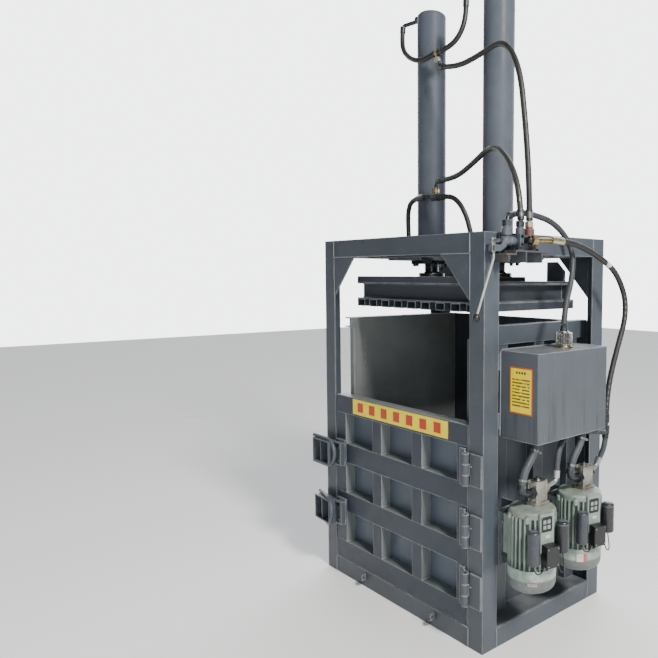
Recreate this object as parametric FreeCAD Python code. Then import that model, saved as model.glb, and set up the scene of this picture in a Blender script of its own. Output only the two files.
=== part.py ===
import FreeCAD, Part
import os
from math import atan2, cos, degrees, pi, radians, sin, sqrt, tan
from FreeCAD import Vector

# A vertical recycling baler: a welded frame with an open-topped pressing chamber, a front door on three
# hinges, a platen pushed down by two hydraulic cylinders, and an oil tank, two motor pumps and a lever
# valve on its right side. X points right as seen from the front, Y to the back, Z up, in millimetres.
# The origin is the middle of the frame's footprint, on the floor.

# ---- driving dimensions ----
frame_height = 1650
frame_width = 1120
frame_depth = 760
post_leg = 80
post_thick = 8
beam_height = 80
beam_flange = 40
beam_thick = 5
beam_root = 6
cross_beam_flange = 50
bearer_pitch = 240
gusset_wide = 170
gusset_tall = 185

wall_thick = 6
chamber_half = 430
chamber_front = -320
chamber_back = 372
chamber_bottom = 80
floor_top = 90
rim_top = 1277

door_half = 473
door_bottom = 82
door_top = 900
door_front = -378
door_skin = -330
door_sheet = 4
cell_columns = [(-393, -171), (-103, 119), (187, 409)]
rail_spans = [(82, 175), (328, 421), (572, 667), (814, 900)]

hinge_axis = Vector(478, -396, 0)
knuckle_radius = 15
hinge_pin_radius = 7
hinge_spans = [(177, 313), (416, 550), (665, 794)]
hinge_leaf_thick = 8
bearing_gap = 0.05
part_gap = 0.5

latch_axis = Vector(-398, -404, 0)
latch_heights = [618, 325]
latch_pin_radius = 6

platen_half = 420
platen_front = -285
platen_back = 345
platen_bottom = 1335
bar_height = 35
bar_width = 60
bar_count = 9
platen_frame_top = 1450
plate_top = 1480
platen_travel = 950

cylinder_x = 230
cylinder_y = 30
barrel_radius = 70
bore_radius = 60
barrel_top = 2757
rod_radius = 35
barrel_cap = 62
piston_low = 2630
piston_high = 2680
gland_top = 1612
mount_plate_top = 1570
mount_plate_thick = 12
flange_thick = 22
flange_radius = 110
bolt_circle = 92
bolt_radius = 8
top_port = 2742
low_port = 1622

motor_x = 690
motor_ys = [-241, 54]
cowl_bottom = 282
cowl_top = 380
fins_top = 577
bell_top = 604
pump_top = 697
pump_port = 655
fin_radius = 95
core_radius = 82
bell_radius = 90
fin_count = 30
cowl_radius = 97
shaft_radius = 14
can_radius = 25
pump_shift = 29
pump_half_x = 26
pump_half = 33
panel_turn = -13
panel_reach = 97
foot_face = 568

tank_x = (560, 752)
tank_y = (-287, 147)
tank_z = (855, 1197)
tank_sheet = 4
tank_corner = 6
filler_x = 657
filler_y = -22
filler_top = 1264

valve_x = 600
lever_pivot = Vector(valve_x, -372, 1587)
lever_slot = 28
spool_height = lever_pivot.z + lever_slot
spool_radius = 7
knob_centre = Vector(valve_x, -460, 1331)
knob_radius = 15
shelf_top = 1581
port_a = Vector(valve_x, -228, 1672)
port_b = Vector(602, -178, 1672)
return_port = Vector(valve_x, -303, 1671)
pressure_axis = Vector(650, -226, 1620)

hose_radius = 12
suction_radius = 15

os.makedirs("parts", exist_ok=True)


# ---- helpers ----
def export(name, solids):
    shape = solids[0] if len(solids) == 1 else Part.makeCompound(solids)
    shape.exportStep("parts/" + name + ".step")


def box(x, y, z):
    return Part.makeBox(x[1] - x[0], y[1] - y[0], z[1] - z[0], Vector(x[0], y[0], z[0]))


def cylinder(radius, start, end):
    return Part.makeCylinder(radius, (end - start).Length, start, end - start)


def fused(solids):
    whole = solids[0].multiFuse(solids[1:]) if len(solids) > 1 else solids[0]
    return whole.removeSplitter()


def mirrored(solid):
    return solid.mirror(Vector(0, 0, 0), Vector(1, 0, 0))


# A flat face from corners (u, v) or (u, v, radius), where place(u, v) gives the point in space.
def face(corners, place):
    count = len(corners)
    points = [place(corner[0], corner[1]) for corner in corners]
    stretches = []
    for index, corner in enumerate(corners):
        here = points[index]
        if len(corner) == 2:
            stretches.append((here, None, here))
            continue
        back = (points[index - 1] - here).normalize()
        ahead = (points[(index + 1) % count] - here).normalize()
        half = back.getAngle(ahead) / 2
        run = corner[2] / tan(half)
        inward = (back + ahead).normalize() * (corner[2] / sin(half) - corner[2])
        stretches.append((here + back * run, here + inward, here + ahead * run))
    edges = []
    for index, (start, middle, end) in enumerate(stretches):
        if middle is not None:
            edges.append(Part.Arc(start, middle, end).toShape())
        following = stretches[(index + 1) % count][0]
        if end.distanceToPoint(following) > 1e-6:
            edges.append(Part.LineSegment(end, following).toShape())
    return Part.Face(Part.Wire(edges))


def plan(z):
    return lambda u, v: Vector(u, v, z)


def front_view(y):
    return lambda u, v: Vector(u, y, v)


def side_view(x):
    return lambda u, v: Vector(x, u, v)


# A channel: "start" is the web's lower outer corner, "out" points away from the web's outer face.
def channel(start, along, out, up, height, flange, thick, root=0):
    def place(u, v):
        return start + out * u + up * v

    inner = [(-thick, height - thick), (-thick, thick)]
    if root:
        inner = [(u, v, root) for u, v in inner]
    corners = [(0, 0), (0, height), (-flange, height), (-flange, height - thick)] + inner
    corners += [(-flange, thick), (-flange, 0)]
    return face(corners, place).extrude(along)


# A solid turned about a vertical axis from a half outline of (radius, height) corners.
def turned(corners, x, y):
    outline = face(corners, lambda u, v: Vector(x + u, y, v))
    return outline.revolve(Vector(x, y, 0), Vector(0, 0, 1), 360)


def hexagon(across, start, end):
    axis = (end - start).normalize()
    side = axis.cross(Vector(0, 0, 1))
    if side.Length < 0.1:
        side = Vector(1, 0, 0)
    side.normalize()
    other = axis.cross(side)
    corner_radius = across / sqrt(3)
    turns = [index * pi / 3 for index in range(6)]
    corners = [(corner_radius * cos(turn), corner_radius * sin(turn)) for turn in turns]
    return face(corners, lambda u, v: start + side * u + other * v).extrude(end - start)


# ---- round pipes and hoses along routes ----
# Each corner of a route is an arc. A hose's arcs are as large as its runs allow, a pipe's have one radius.
def route_wire(points, bend=None):
    edges = []
    radii = []
    last = points[0]
    for before, here, after in zip(points, points[1:], points[2:]):
        back = before - here
        ahead = after - here
        turn = pi - back.getAngle(ahead)
        radius = bend or 0.45 * min(back.Length, ahead.Length) / tan(turn / 2)
        run = radius * tan(turn / 2)
        back.normalize()
        ahead.normalize()
        inward = (back + ahead).normalize() * (radius / cos(turn / 2) - radius)
        edges.append(Part.LineSegment(last, here + back * run).toShape())
        edges.append(Part.Arc(here + back * run, here + inward, here + ahead * run).toShape())
        last = here + ahead * run
        radii.append(radius)
    edges.append(Part.LineSegment(last, points[-1]).toShape())
    return Part.Wire(edges), radii


def tube(points, radius, bend=None):
    wire, radii = route_wire(points, bend)
    circle = Part.Circle(points[0], points[1] - points[0], radius).toShape()
    solid = wire.makePipeShell([Part.Wire([circle])], True, False)
    return solid, wire.Length, radii


def hose(name, points, radius):
    solid, length, radii = tube(points, radius)
    ratio = solid.Volume / (pi * radius ** 2 * length)
    report = "%s length %.0f mm, least arc radius %.0f mm, volume ratio %.4f"
    print(report % (name, length, min(radii), ratio))
    return solid


def at(points):
    return [Vector(*point) for point in points]


# A hose end: a hexagon nut at the port, a thin pipe round one bend, and the sleeve pressed on the hose.
# "route" is the hose's end point and the point after it, so that the sleeve is in line with the hose.
def hose_end(port, facing, route, radius=hose_radius, leg=36, sleeve=30, nut=18, bend=18):
    end, following = at(route)
    along = (following - end).normalize()
    corner = end - along * leg
    port = Vector(*port)
    outward = Vector(*facing).normalize()
    pipe = tube([port + outward * nut / 3, corner, end], radius - 2.5, bend)[0]
    head = hexagon(2 * radius + 6, port, port + outward * nut)
    crimp = cylinder(radius + 2, end - along * sleeve, end)
    return fused([pipe, head, crimp])


# ---- welded frame ----
def post(x_sign, y_sign):
    corner_x = x_sign * frame_width / 2
    corner_y = y_sign * frame_depth / 2

    def place(u, v):
        return Vector(corner_x - x_sign * u, corner_y - y_sign * v, 0)

    corners = [(0, 0), (post_leg, 0), (post_leg, post_thick, 3), (post_thick, post_thick, 8)]
    corners += [(post_thick, post_leg, 3), (0, post_leg)]
    return face(corners, place).extrude(Vector(0, 0, frame_height))


def ring_of_beams(z):
    span_x = frame_width / 2 - post_leg
    span_y = frame_depth / 2 - post_leg
    up = Vector(0, 0, 1)
    beams = []
    for sign in (-1, 1):
        across = Vector(-span_x, sign * frame_depth / 2, z)
        lengthwise = Vector(sign * frame_width / 2, -span_y, z)
        beams.append(channel(across, Vector(2 * span_x, 0, 0), Vector(0, sign, 0), up,
                             beam_height, beam_flange, beam_thick, beam_root))
        beams.append(channel(lengthwise, Vector(0, 2 * span_y, 0), Vector(sign, 0, 0), up,
                             beam_height, beam_flange, beam_thick, beam_root))
    return beams


# Three channels lie on the floor between the side beams and carry the chamber.
def floor_bearers():
    half = frame_width / 2 - beam_flange
    middle = -beam_flange / 2
    return [channel(Vector(-half, middle + offset, 0), Vector(2 * half, 0, 0), Vector(0, -1, 0),
                    Vector(0, 0, 1), chamber_bottom, beam_flange, beam_thick)
            for offset in (-bearer_pitch, 0, bearer_pitch)]


def gussets():
    edge = frame_width / 2 - post_leg
    top = frame_height - beam_height
    corners = [(-edge, top), (-edge + gusset_wide, top), (-edge, top - gusset_tall)]
    plates = []
    for y in (-frame_depth / 2, frame_depth / 2 - post_thick):
        plate = face(corners, front_view(y)).extrude(Vector(0, post_thick, 0))
        plates += [plate, mirrored(plate)]
    return plates


# Two channels over the chamber, back to back round the cylinders, and the plate under them that each
# cylinder's flange is bolted to.
def cross_beams():
    half = frame_width / 2 - beam_flange
    bottom = frame_height - beam_height
    solids = []
    for sign in (-1, 1):
        web = cylinder_y + sign * 125
        solids.append(channel(Vector(-half, web, bottom), Vector(2 * half, 0, 0), Vector(0, -sign, 0),
                              Vector(0, 0, 1), beam_height, cross_beam_flange, beam_thick, beam_root))
    for sign in (-1, 1):
        x = sign * cylinder_x
        plate = box((x - 125, x + 125), (cylinder_y - 175, cylinder_y + 175),
                    (mount_plate_top - mount_plate_thick, mount_plate_top))
        hole = cylinder(bore_radius + 2, Vector(x, cylinder_y, mount_plate_top - 2 * mount_plate_thick),
                        Vector(x, cylinder_y, mount_plate_top + mount_plate_thick))
        solids.append(plate.cut(Part.makeCompound([hole] + bolt_shanks(x))))
    return solids


def bolt_places(x):
    turns = [radians(30 + 60 * index) for index in range(6)]
    return [(x + bolt_circle * cos(turn), cylinder_y + bolt_circle * sin(turn)) for turn in turns]


def bolt_shanks(x):
    low = mount_plate_top - 2 * mount_plate_thick
    high = mount_plate_top + flange_thick + 4
    return [cylinder(bolt_radius, Vector(u, v, low), Vector(u, v, high)) for u, v in bolt_places(x)]


# ---- pressing chamber ----
def side_wall():
    plate = box((chamber_half, chamber_half + wall_thick), (chamber_front, chamber_back),
                (chamber_bottom, rim_top))
    jamb = box((405, chamber_half), (chamber_front, chamber_front + 8), (floor_top, 1228))
    stiffeners = []
    for y in (-190, 40, 270):
        stiffeners.append(channel(Vector(476, y - 30, chamber_bottom), Vector(0, 0, 1125), Vector(1, 0, 0),
                                  Vector(0, 1, 0), 60, 40, beam_thick))
    return [fused([plate, jamb])] + stiffeners


def left_rim():
    return channel(Vector(-436, chamber_front, 1230), Vector(0, chamber_back - chamber_front, 0),
                   Vector(1, 0, 0), Vector(0, 0, 1), 47, 44, beam_thick)


def right_rim():
    return channel(Vector(480, -300, 1205), Vector(0, chamber_back + 300, 0), Vector(1, 0, 0),
                   Vector(0, 0, 1), 78, 44, beam_thick)


def back_wall():
    half = frame_width / 2 - post_leg
    plate = box((-half, half), (chamber_back, chamber_back + wall_thick), (chamber_bottom, rim_top))
    ribs = []
    for z in (220, 520, 820, 1205):
        ribs.append(channel(Vector(-half, chamber_back + wall_thick + 30, z), Vector(2 * half, 0, 0),
                            Vector(0, 1, 0), Vector(0, 0, 1), 60, 30, beam_thick))
    return [plate] + ribs


def chamber_floor():
    return box((-chamber_half, chamber_half), (chamber_front, chamber_back), (chamber_bottom, floor_top))


# ---- door ----
def door_panel():
    return box((-door_half, door_half), (door_skin, door_skin + 6), (door_bottom, door_top))


# Four rails run the whole width. Short uprights stand between them, so that nine square cells are left.
def door_grid():
    out = Vector(0, -1, 0)
    up = Vector(0, 0, 1)
    deep = door_skin - door_front
    solids = []
    for bottom, top in rail_spans:
        solids.append(channel(Vector(-door_half, door_front, bottom), Vector(2 * door_half, 0, 0), out, up,
                              top - bottom, deep, door_sheet))
    edges = [-door_half]
    for column in cell_columns:
        edges += column
    edges.append(door_half)
    for (_, low), (high, _) in zip(rail_spans, rail_spans[1:]):
        for left, right in zip(edges[::2], edges[1::2]):
            solids.append(channel(Vector(left, door_front, low), Vector(0, 0, high - low), out,
                                  Vector(1, 0, 0), right - left, deep, door_sheet))
    return solids


# Each hinge is a barrel of three knuckles. The post's leaf carries the middle one.
def knuckle_bands(low, high):
    third = (high - low) / 3
    gap = part_gap / 2
    bands = [(low, low + third - gap), (low + third + gap, high - third - gap), (high - third + gap, high)]
    return bands


def knuckle(band, leaf_sign, leaf_back, bore):
    start = hinge_axis + Vector(0, 0, band[0])
    end = hinge_axis + Vector(0, 0, band[1])
    near = hinge_axis.x + leaf_sign * 20
    tab = box(sorted((hinge_axis.x, near)), (leaf_back - hinge_leaf_thick, leaf_back), band)
    barrel = cylinder(knuckle_radius, start, end).fuse(tab)
    return barrel.cut(cylinder(bore, start, end))


def door_hinges():
    solids = []
    for low, high in hinge_spans:
        leaf = box((432, hinge_axis.x - 18), (door_front - hinge_leaf_thick, door_front),
                   (low - 6, high + 12))
        bands = knuckle_bands(low, high)
        bore = hinge_pin_radius + bearing_gap
        knuckles = [knuckle(band, -1, door_front, bore) for band in (bands[0], bands[2])]
        solids.append(fused([leaf] + knuckles))
    return solids


def post_hinges():
    front = -frame_depth / 2
    solids = []
    for low, high in hinge_spans:
        leaf = box((hinge_axis.x + 18, 556), (front - hinge_leaf_thick, front), (low, high))
        solids.append(fused([leaf, knuckle(knuckle_bands(low, high)[1], 1, front, hinge_pin_radius)]))
    return solids


def hinge_pins():
    return [cylinder(hinge_pin_radius, hinge_axis + Vector(0, 0, low), hinge_axis + Vector(0, 0, high))
            for low, high in hinge_spans]


# ---- door latches ----
# A catch box open to the front swings on an upright pin beside the door's edge. Its back strap reaches
# the pin, its claw reaches back along the post's outer side, and a round bar bail is welded on it.
def latch(height, swing, bail_turn):
    low = height - 58
    high = height + 58
    left = -583
    right = -440
    outline = [(left, low), (right, low), (right, high), (left, high)]
    shell = face(outline, front_view(-450)).extrude(Vector(0, 48, 0))
    hollow = box((left + 6, right - 6), (-451, -408), (low + 6, high - 6))
    claw = box((left, left + 6), (-410, -346), (height - 40, height + 40))
    divider = box((-524, -518), (-444, -402), (low, high))
    strap = box((right - 4, latch_axis.x), (-408, -402), (height - 28, height + 28))
    eye = cylinder(10, latch_axis + Vector(0, 0, height - 28), latch_axis + Vector(0, 0, height + 28))
    arm = high + 7 - height
    bar_y = -431
    bend_x = -413 - arm
    bar_start = Vector(-600, bar_y, height + arm)
    bar_end = Vector(-600, bar_y, height - arm)
    bend_start = Vector(bend_x, bar_y, height + arm)
    bend_end = Vector(bend_x, bar_y, height - arm)
    edges = [Part.LineSegment(bar_start, bend_start).toShape(),
             Part.Arc(bend_start, Vector(bend_x + arm, bar_y, height), bend_end).toShape(),
             Part.LineSegment(bend_end, bar_end).toShape()]
    circle = Part.Circle(bar_start, Vector(1, 0, 0), 9).toShape()
    bail = Part.Wire(edges).makePipeShell([Part.Wire([circle])], True, False)
    bail.rotate(Vector(-500, bar_y, 0), Vector(0, 0, 1), bail_turn)
    whole = fused([shell.cut(hollow), claw, divider, strap, eye, bail])
    pin_bore = cylinder(latch_pin_radius + bearing_gap, latch_axis + Vector(0, 0, height - 60),
                        latch_axis + Vector(0, 0, height + 60))
    whole = whole.cut(pin_bore)
    whole.rotate(latch_axis, Vector(0, 0, 1), swing)
    return whole


# The plate welded on the door's stile, with two ears that hold the latch's pin.
def latch_mount(height):
    plate = box((-465, -389), (-390, door_front), (height - 62, height + 62))
    ears = []
    for low, high in ((height - 44, height - 29), (height + 29, height + 44)):
        outline = [(-392, door_front - 6), (-410, door_front - 6), (-410, -416, 11), (-388, -416, 11),
                   (-388, door_front - 6)]
        ears.append(face(outline, plan(low)).extrude(Vector(0, 0, high - low)))
    pin = cylinder(latch_pin_radius, latch_axis + Vector(0, 0, height - 50),
                   latch_axis + Vector(0, 0, height + 50))
    return fused([plate] + ears + [pin])


def latch_keepers():
    outer = -frame_width / 2
    return [box((outer - 9, outer), (-370, -350), (height - 45, height + 45)) for height in latch_heights]


# Two small eye plates stand out of the front base beam.
def sill_lugs():
    front = -frame_depth / 2
    solids = []
    for x in (-233, 270):
        outline = [(front, 34), (front - 24, 34, 11), (front - 24, 64, 11), (front, 64)]
        plate = face(outline, side_view(x - 4)).extrude(Vector(8, 0, 0))
        solids.append(plate.cut(cylinder(6, Vector(x - 10, front - 12, 49), Vector(x + 10, front - 12, 49))))
    return solids


# ---- platen ----
def platen_frame():
    low = platen_bottom + bar_height
    tall = platen_frame_top - low
    up = Vector(0, 0, 1)
    flange = 42
    inner_front = platen_front + flange
    inner_back = platen_back - flange
    solids = []
    for y, sign in ((inner_front, 1), (inner_back, -1)):
        solids.append(channel(Vector(-platen_half, y, low), Vector(2 * platen_half, 0, 0),
                              Vector(0, sign, 0), up, tall, flange, 6, 8))
    for sign in (-1, 1):
        solids.append(channel(Vector(sign * (platen_half - flange), inner_front, low),
                              Vector(0, inner_back - inner_front, 0), Vector(-sign, 0, 0), up,
                              tall, flange, 6, 8))
        solids.append(box((sign * cylinder_x - 6, sign * cylinder_x + 6), (inner_front, inner_back),
                          (low, platen_frame_top)))
    return solids


def platen_plate():
    cover_top = platen_frame_top + 10
    cover = box((-platen_half, platen_half), (platen_front, platen_back), (platen_frame_top, cover_top))
    pads = [box((sign * cylinder_x - 90, sign * cylinder_x + 90), (cylinder_y - 90, cylinder_y + 90),
                (cover_top, plate_top)) for sign in (-1, 1)]
    edge = [(platen_front, cover_top), (platen_front + 8, cover_top), (platen_front + 8, plate_top),
            (platen_front, plate_top)]
    lip = face(edge, side_view(-platen_half)).extrude(Vector(2 * platen_half, 0, 0))
    return [fused([cover, lip] + pads)]


# Open-ended square tubes run front to back under the platen, and the strapping wire passes between them.
def platen_bars():
    pitch = (2 * platen_half - bar_width) / (bar_count - 1)
    top = platen_bottom + bar_height
    solids = []
    for index in range(bar_count):
        x = -platen_half + index * pitch
        outer = [(x, platen_bottom), (x + bar_width, platen_bottom), (x + bar_width, top), (x, top)]
        inner = [(x + 4, platen_bottom + 4), (x + bar_width - 4, platen_bottom + 4),
                 (x + bar_width - 4, top - 4), (x + 4, top - 4)]
        profile = face(outer, front_view(platen_front)).cut(face(inner, front_view(platen_front)))
        solids.append(profile.extrude(Vector(0, platen_back - platen_front, 0)))
    return solids


# Upright guide plates with a cut corner stand near the platen's back corners.
def platen_guides():
    low = platen_frame_top + 10
    high = low + 90
    outline = [(322, low), (424, low), (424, high - 44), (380, high), (322, high)]
    plate = face(outline, front_view(268)).extrude(Vector(0, 10, 0))
    brace = [(278, low), (338, low), (278, high - 20)]
    rib = face(brace, side_view(366)).extrude(Vector(8, 0, 0))
    guide = fused([plate, rib])
    return [guide, mirrored(guide)]


# ---- hydraulic cylinders ----
def cylinder_barrel(x):
    bottom = mount_plate_top
    shoulder = bottom + flange_thick
    bore_top = barrel_top - barrel_cap
    outline = [(bore_radius, bottom), (flange_radius, bottom), (flange_radius, shoulder),
               (barrel_radius + 9, shoulder), (barrel_radius, shoulder + 9),
               (barrel_radius, barrel_top - 12, 12), (barrel_radius - 12, barrel_top, 6), (0, barrel_top),
               (0, bore_top), (bore_radius, bore_top)]
    solid = turned(outline, x, cylinder_y)
    return solid.cut(Part.makeCompound(bolt_shanks(x)))


def gland(x):
    collar_top = mount_plate_top - mount_plate_thick
    collar_low = collar_top - 16
    hole = rod_radius + bearing_gap
    outline = [(hole, collar_low), (74, collar_low, 4), (74, collar_top), (bore_radius, collar_top),
               (bore_radius, gland_top), (hole, gland_top)]
    return turned(outline, x, cylinder_y)


def flange_bolts():
    plate_bottom = mount_plate_top - mount_plate_thick
    head_low = mount_plate_top + flange_thick
    head_top = head_low + 14
    solids = []
    for x in (-cylinder_x, cylinder_x):
        for u, v in bolt_places(x):
            head = hexagon(24, Vector(u, v, head_low), Vector(u, v, head_top))
            nut = hexagon(28, Vector(u, v, plate_bottom - 17), Vector(u, v, plate_bottom))
            shank = cylinder(bolt_radius, Vector(u, v, plate_bottom - 28), Vector(u, v, head_top))
            solids.append(fused([head, nut, shank]))
    return solids


def piston_rod(x):
    piston_radius = bore_radius - bearing_gap
    outline = [(0, plate_top), (65, plate_top), (65, plate_top + 18, 4), (rod_radius + 6, plate_top + 18),
               (rod_radius, plate_top + 24), (rod_radius, piston_low), (piston_radius, piston_low),
               (piston_radius, piston_high), (0, piston_high)]
    return turned(outline, x, cylinder_y)


# ---- oil tank and its filler ----
def oil_tank():
    def layer(inset):
        x0, x1 = tank_x[0] + inset, tank_x[1] - inset
        y0, y1 = tank_y[0] + inset, tank_y[1] - inset
        z0, z1 = tank_z[0] + inset, tank_z[1] - inset
        corners = [(x0, y0), (x1, y0, tank_corner - inset), (x1, y1, tank_corner - inset), (x0, y1)]
        return face(corners, plan(z0)).extrude(Vector(0, 0, z1 - z0))

    return layer(0).cut(layer(tank_sheet))


def tank_rails():
    reach = frame_depth / 2 - post_leg
    return [channel(Vector(tank_x[0], -reach, z), Vector(0, 2 * reach, 0), Vector(1, 0, 0), Vector(0, 0, 1),
                    60, 40, beam_thick) for z in (tank_z[0] + 35, tank_z[1] - 77)]


def filler_cap():
    base = tank_z[1]
    outline = [(0, base), (40, base), (40, base + 6), (31, base + 8), (31, base + 14), (36, base + 16, 2),
               (36, base + 60, 5), (20, base + 62), (20, filler_top), (0, filler_top)]
    return turned(outline, filler_x, filler_y)


# ---- motor pumps ----
def radial(angle, radius, y):
    return Vector(motor_x + radius * cos(radians(angle)), y + radius * sin(radians(angle)), 0)


def motor_fins(y):
    step = 360 / fin_count
    corners = []
    for index in range(fin_count):
        middle = index * step + step / 2
        for offset, radius in ((-0.5, core_radius), (-0.22, core_radius), (-0.16, fin_radius),
                               (0.16, fin_radius), (0.22, core_radius)):
            turn = radians(middle + offset * step)
            corners.append((motor_x + radius * cos(turn), y + radius * sin(turn)))
    return face(corners, plan(cowl_top)).extrude(Vector(0, 0, fins_top - cowl_top))


def motor(y):
    core = turned([(0, cowl_top - 13), (88, cowl_top - 13), (88, cowl_top), (core_radius, cowl_top + 2),
                   (core_radius, fins_top - 5), (bell_radius, fins_top), (bell_radius, bell_top - 4, 9),
                   (62, bell_top), (0, bell_top)], motor_x, y)
    outline = [(motor_x + 60, y - 34), (motor_x + panel_reach, y - 34, 5),
               (motor_x + panel_reach, y + 34, 5), (motor_x + 60, y + 34)]
    panel = face(outline, plan(452)).extrude(Vector(0, 0, bell_top - 456))
    panel.rotate(Vector(motor_x, y, 0), Vector(0, 0, 1), panel_turn)
    lugs = []
    for angle in (-62, -118, 118, 62):
        place = radial(angle, 88, y)
        lug = turned([(0, fins_top - 16), (11, fins_top - 16, 3), (11, fins_top + 8, 5), (0, fins_top + 8)],
                     place.x, place.y)
        lugs.append(lug)
    foot = box((foot_face, foot_face + 12), (y - 56, y + 56), (352, 562))
    feet = [box((foot_face + 10, motor_x - 60), (y + low, y + low + 14), (400, 556)) for low in (-48, 34)]
    whole = fused([core, motor_fins(y), panel, foot] + lugs + feet)
    hole = cylinder(shaft_radius + bearing_gap, Vector(motor_x, y, cowl_top - 20),
                    Vector(motor_x, y, bell_top - 4))
    return whole.cut(hole)


# The fan cowl is an open cup under the motor with a rolled rim, and air slots in its bottom.
def fan_cowl(y):
    inner = cowl_radius - 3
    low = cowl_bottom + 3
    rim = cowl_top - 11
    outline = [(inner, cowl_top), (cowl_radius, cowl_top), (cowl_radius, rim + 2), (cowl_radius - 1.5, rim),
               (cowl_radius - 4, cowl_bottom, 34), (0, cowl_bottom), (0, low), (inner - 4, low, 31),
               (inner - 1.5, rim)]
    cup = turned(outline, motor_x, y)
    slots = []
    for index in range(8):
        slot = box((motor_x + 22, motor_x + 56), (y - 5, y + 5), (cowl_bottom - 5, low + 5))
        slot.rotate(Vector(motor_x, y, 0), Vector(0, 0, 1), 45 * index)
        slots.append(slot)
    return cup.cut(Part.makeCompound(slots))


def rotor(y):
    fan_low = cowl_bottom + 22
    shaft = cylinder(shaft_radius, Vector(motor_x, y, fan_low - 4), Vector(motor_x, y, bell_top - 8))
    hub = cylinder(24, Vector(motor_x, y, fan_low), Vector(motor_x, y, fan_low + 30))
    blades = []
    for index in range(6):
        blade = box((motor_x + 10, motor_x + 78), (y - 1.5, y + 1.5), (fan_low + 4, fan_low + 50))
        blade.rotate(Vector(motor_x, y, 0), Vector(0, 0, 1), 60 * index)
        blades.append(blade)
    return fused([shaft, hub] + blades)


# A gear pump: a rounded body between a foot flange and an end cover, held by four long corner bolts.
def gear_pump(y):
    middle = y + pump_shift
    lid = pump_top - 4
    rib_radius = 7

    def layer(grow, radius, low, high):
        x0, x1 = motor_x - pump_half_x - grow, motor_x + pump_half_x + grow
        y0, y1 = middle - pump_half - grow, middle + pump_half + grow
        corners = [(x0, y0, radius), (x1, y0, radius), (x1, y1, radius), (x0, y1, radius)]
        return face(corners, plan(low)).extrude(Vector(0, 0, high - low))

    foot = layer(8, 14, bell_top, bell_top + 12)
    body = layer(0, 22, bell_top, pump_top)
    cover = layer(2, 20, pump_top - 16, lid)
    ribs = []
    for x_sign in (-1, 1):
        for y_sign in (-1, 1):
            place = Vector(motor_x + x_sign * (pump_half_x - rib_radius),
                           middle + y_sign * (pump_half - rib_radius), bell_top)
            ribs.append(cylinder(rib_radius, place, place + Vector(0, 0, lid - bell_top)))
    return fused([foot, body, cover] + ribs)


def terminal_box(y):
    def slab(low, high, half, radius):
        corners = [(motor_x + panel_reach + low, y - half), (motor_x + panel_reach + high, y - half, radius),
                   (motor_x + panel_reach + high, y + half, radius), (motor_x + panel_reach + low, y + half)]
        return face(corners, plan(406)).extrude(Vector(0, 0, 80))

    whole = fused([slab(0, 36, 26, 6), slab(32, 40, 29, 4)])
    whole.rotate(Vector(motor_x, y, 0), Vector(0, 0, 1), panel_turn)
    return whole


def capacitor(y, angle, low, high):
    place = radial(angle, fin_radius + 2 + can_radius, y)
    can = turned([(0, low), (can_radius, low, 7), (can_radius, high - 5, 8), (9, high), (0, high)],
                 place.x, place.y)
    saddle = box((motor_x + 90, motor_x + 102), (y - 12, y + 12), (low + 30, high - 30))
    saddle.rotate(Vector(motor_x, y, 0), Vector(0, 0, 1), angle)
    return fused([can, saddle.cut(cylinder(fin_radius, Vector(motor_x, y, low), Vector(motor_x, y, high)))])


# A welded channel stands between each motor's foot and the chamber wall.
def motor_bracket(y):
    return channel(Vector(foot_face, y - 58, 340), Vector(0, 0, 230), Vector(1, 0, 0), Vector(0, 1, 0),
                   116, 92, 8)


# ---- lever valve ----
# A shelf on the side beam carries the valve: square ribs under it, and a lower step in front.
def valve_bracket():
    shelf = box((560, 640), (-289, -140), (shelf_top - 6, shelf_top))
    step = box((560, 640), (-345, -289), (shelf_top - 19, shelf_top - 13))
    riser = box((560, 640), (-294, -289), (shelf_top - 19, shelf_top))
    ribs = [box((560, 640), (y, y + 6), (shelf_top - 46, shelf_top - 3)) for y in (-237, -146)]
    front_rib = box((560, 640), (-334, -328), (shelf_top - 46, shelf_top - 16))
    return fused([shelf, step, riser, front_rib] + ribs)


def valve_body():
    nose = turned([(0, 0), (13, 0, 2), (13, 3), (18.5, 6, 5), (18.5, 31, 8), (13, 35), (13, 39),
                   (17.5, 43, 6), (17.5, 68, 6), (15, 72), (15, 84), (0, 84)], 0, 0)
    nose.rotate(Vector(0, 0, 0), Vector(1, 0, 0), -90)
    nose.translate(Vector(valve_x, -330, spool_height))
    low = spool_height - return_port.z
    boss = turned([(0, low), (13, low), (13, -37), (21.5, -33, 3), (21.5, -9, 3), (17, -6), (17, 0),
                   (0, 0)], 0, 0)
    boss.translate(return_port)
    outline = [(576, -258), (622, -258, 4), (622, -205), (576, -205)]
    block = face(outline, plan(shelf_top)).extrude(Vector(0, 0, 59))
    side_face = box((618, 632), (-262, -240), (shelf_top + 13, shelf_top + 62))
    port = turned([(0, -34), (18, -34), (18, -6, 4), (14, -3), (14, 0), (0, 0)], port_a.x, port_a.y)
    port.translate(Vector(0, 0, port_a.z))
    height = lever_pivot.z
    ears = []
    for x in (584, 608):
        outline = [(-320, height + 6), (-320, height + 34), (-332, height + 34), (-345, height + 12),
                   (-384, height + 12, 6), (-384, height - 12, 6), (-350, height - 12)]
        ears.append(face(outline, side_view(x)).extrude(Vector(8, 0, 0)))
    pin = cylinder(5, Vector(584, lever_pivot.y, height), Vector(616, lever_pivot.y, height))
    whole = fused([nose, boss, block, side_face, port] + ears + [pin])
    spool_bore = cylinder(spool_radius + bearing_gap, Vector(valve_x, -340, spool_height),
                          Vector(valve_x, -262, spool_height))
    return whole.cut(spool_bore)


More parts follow.
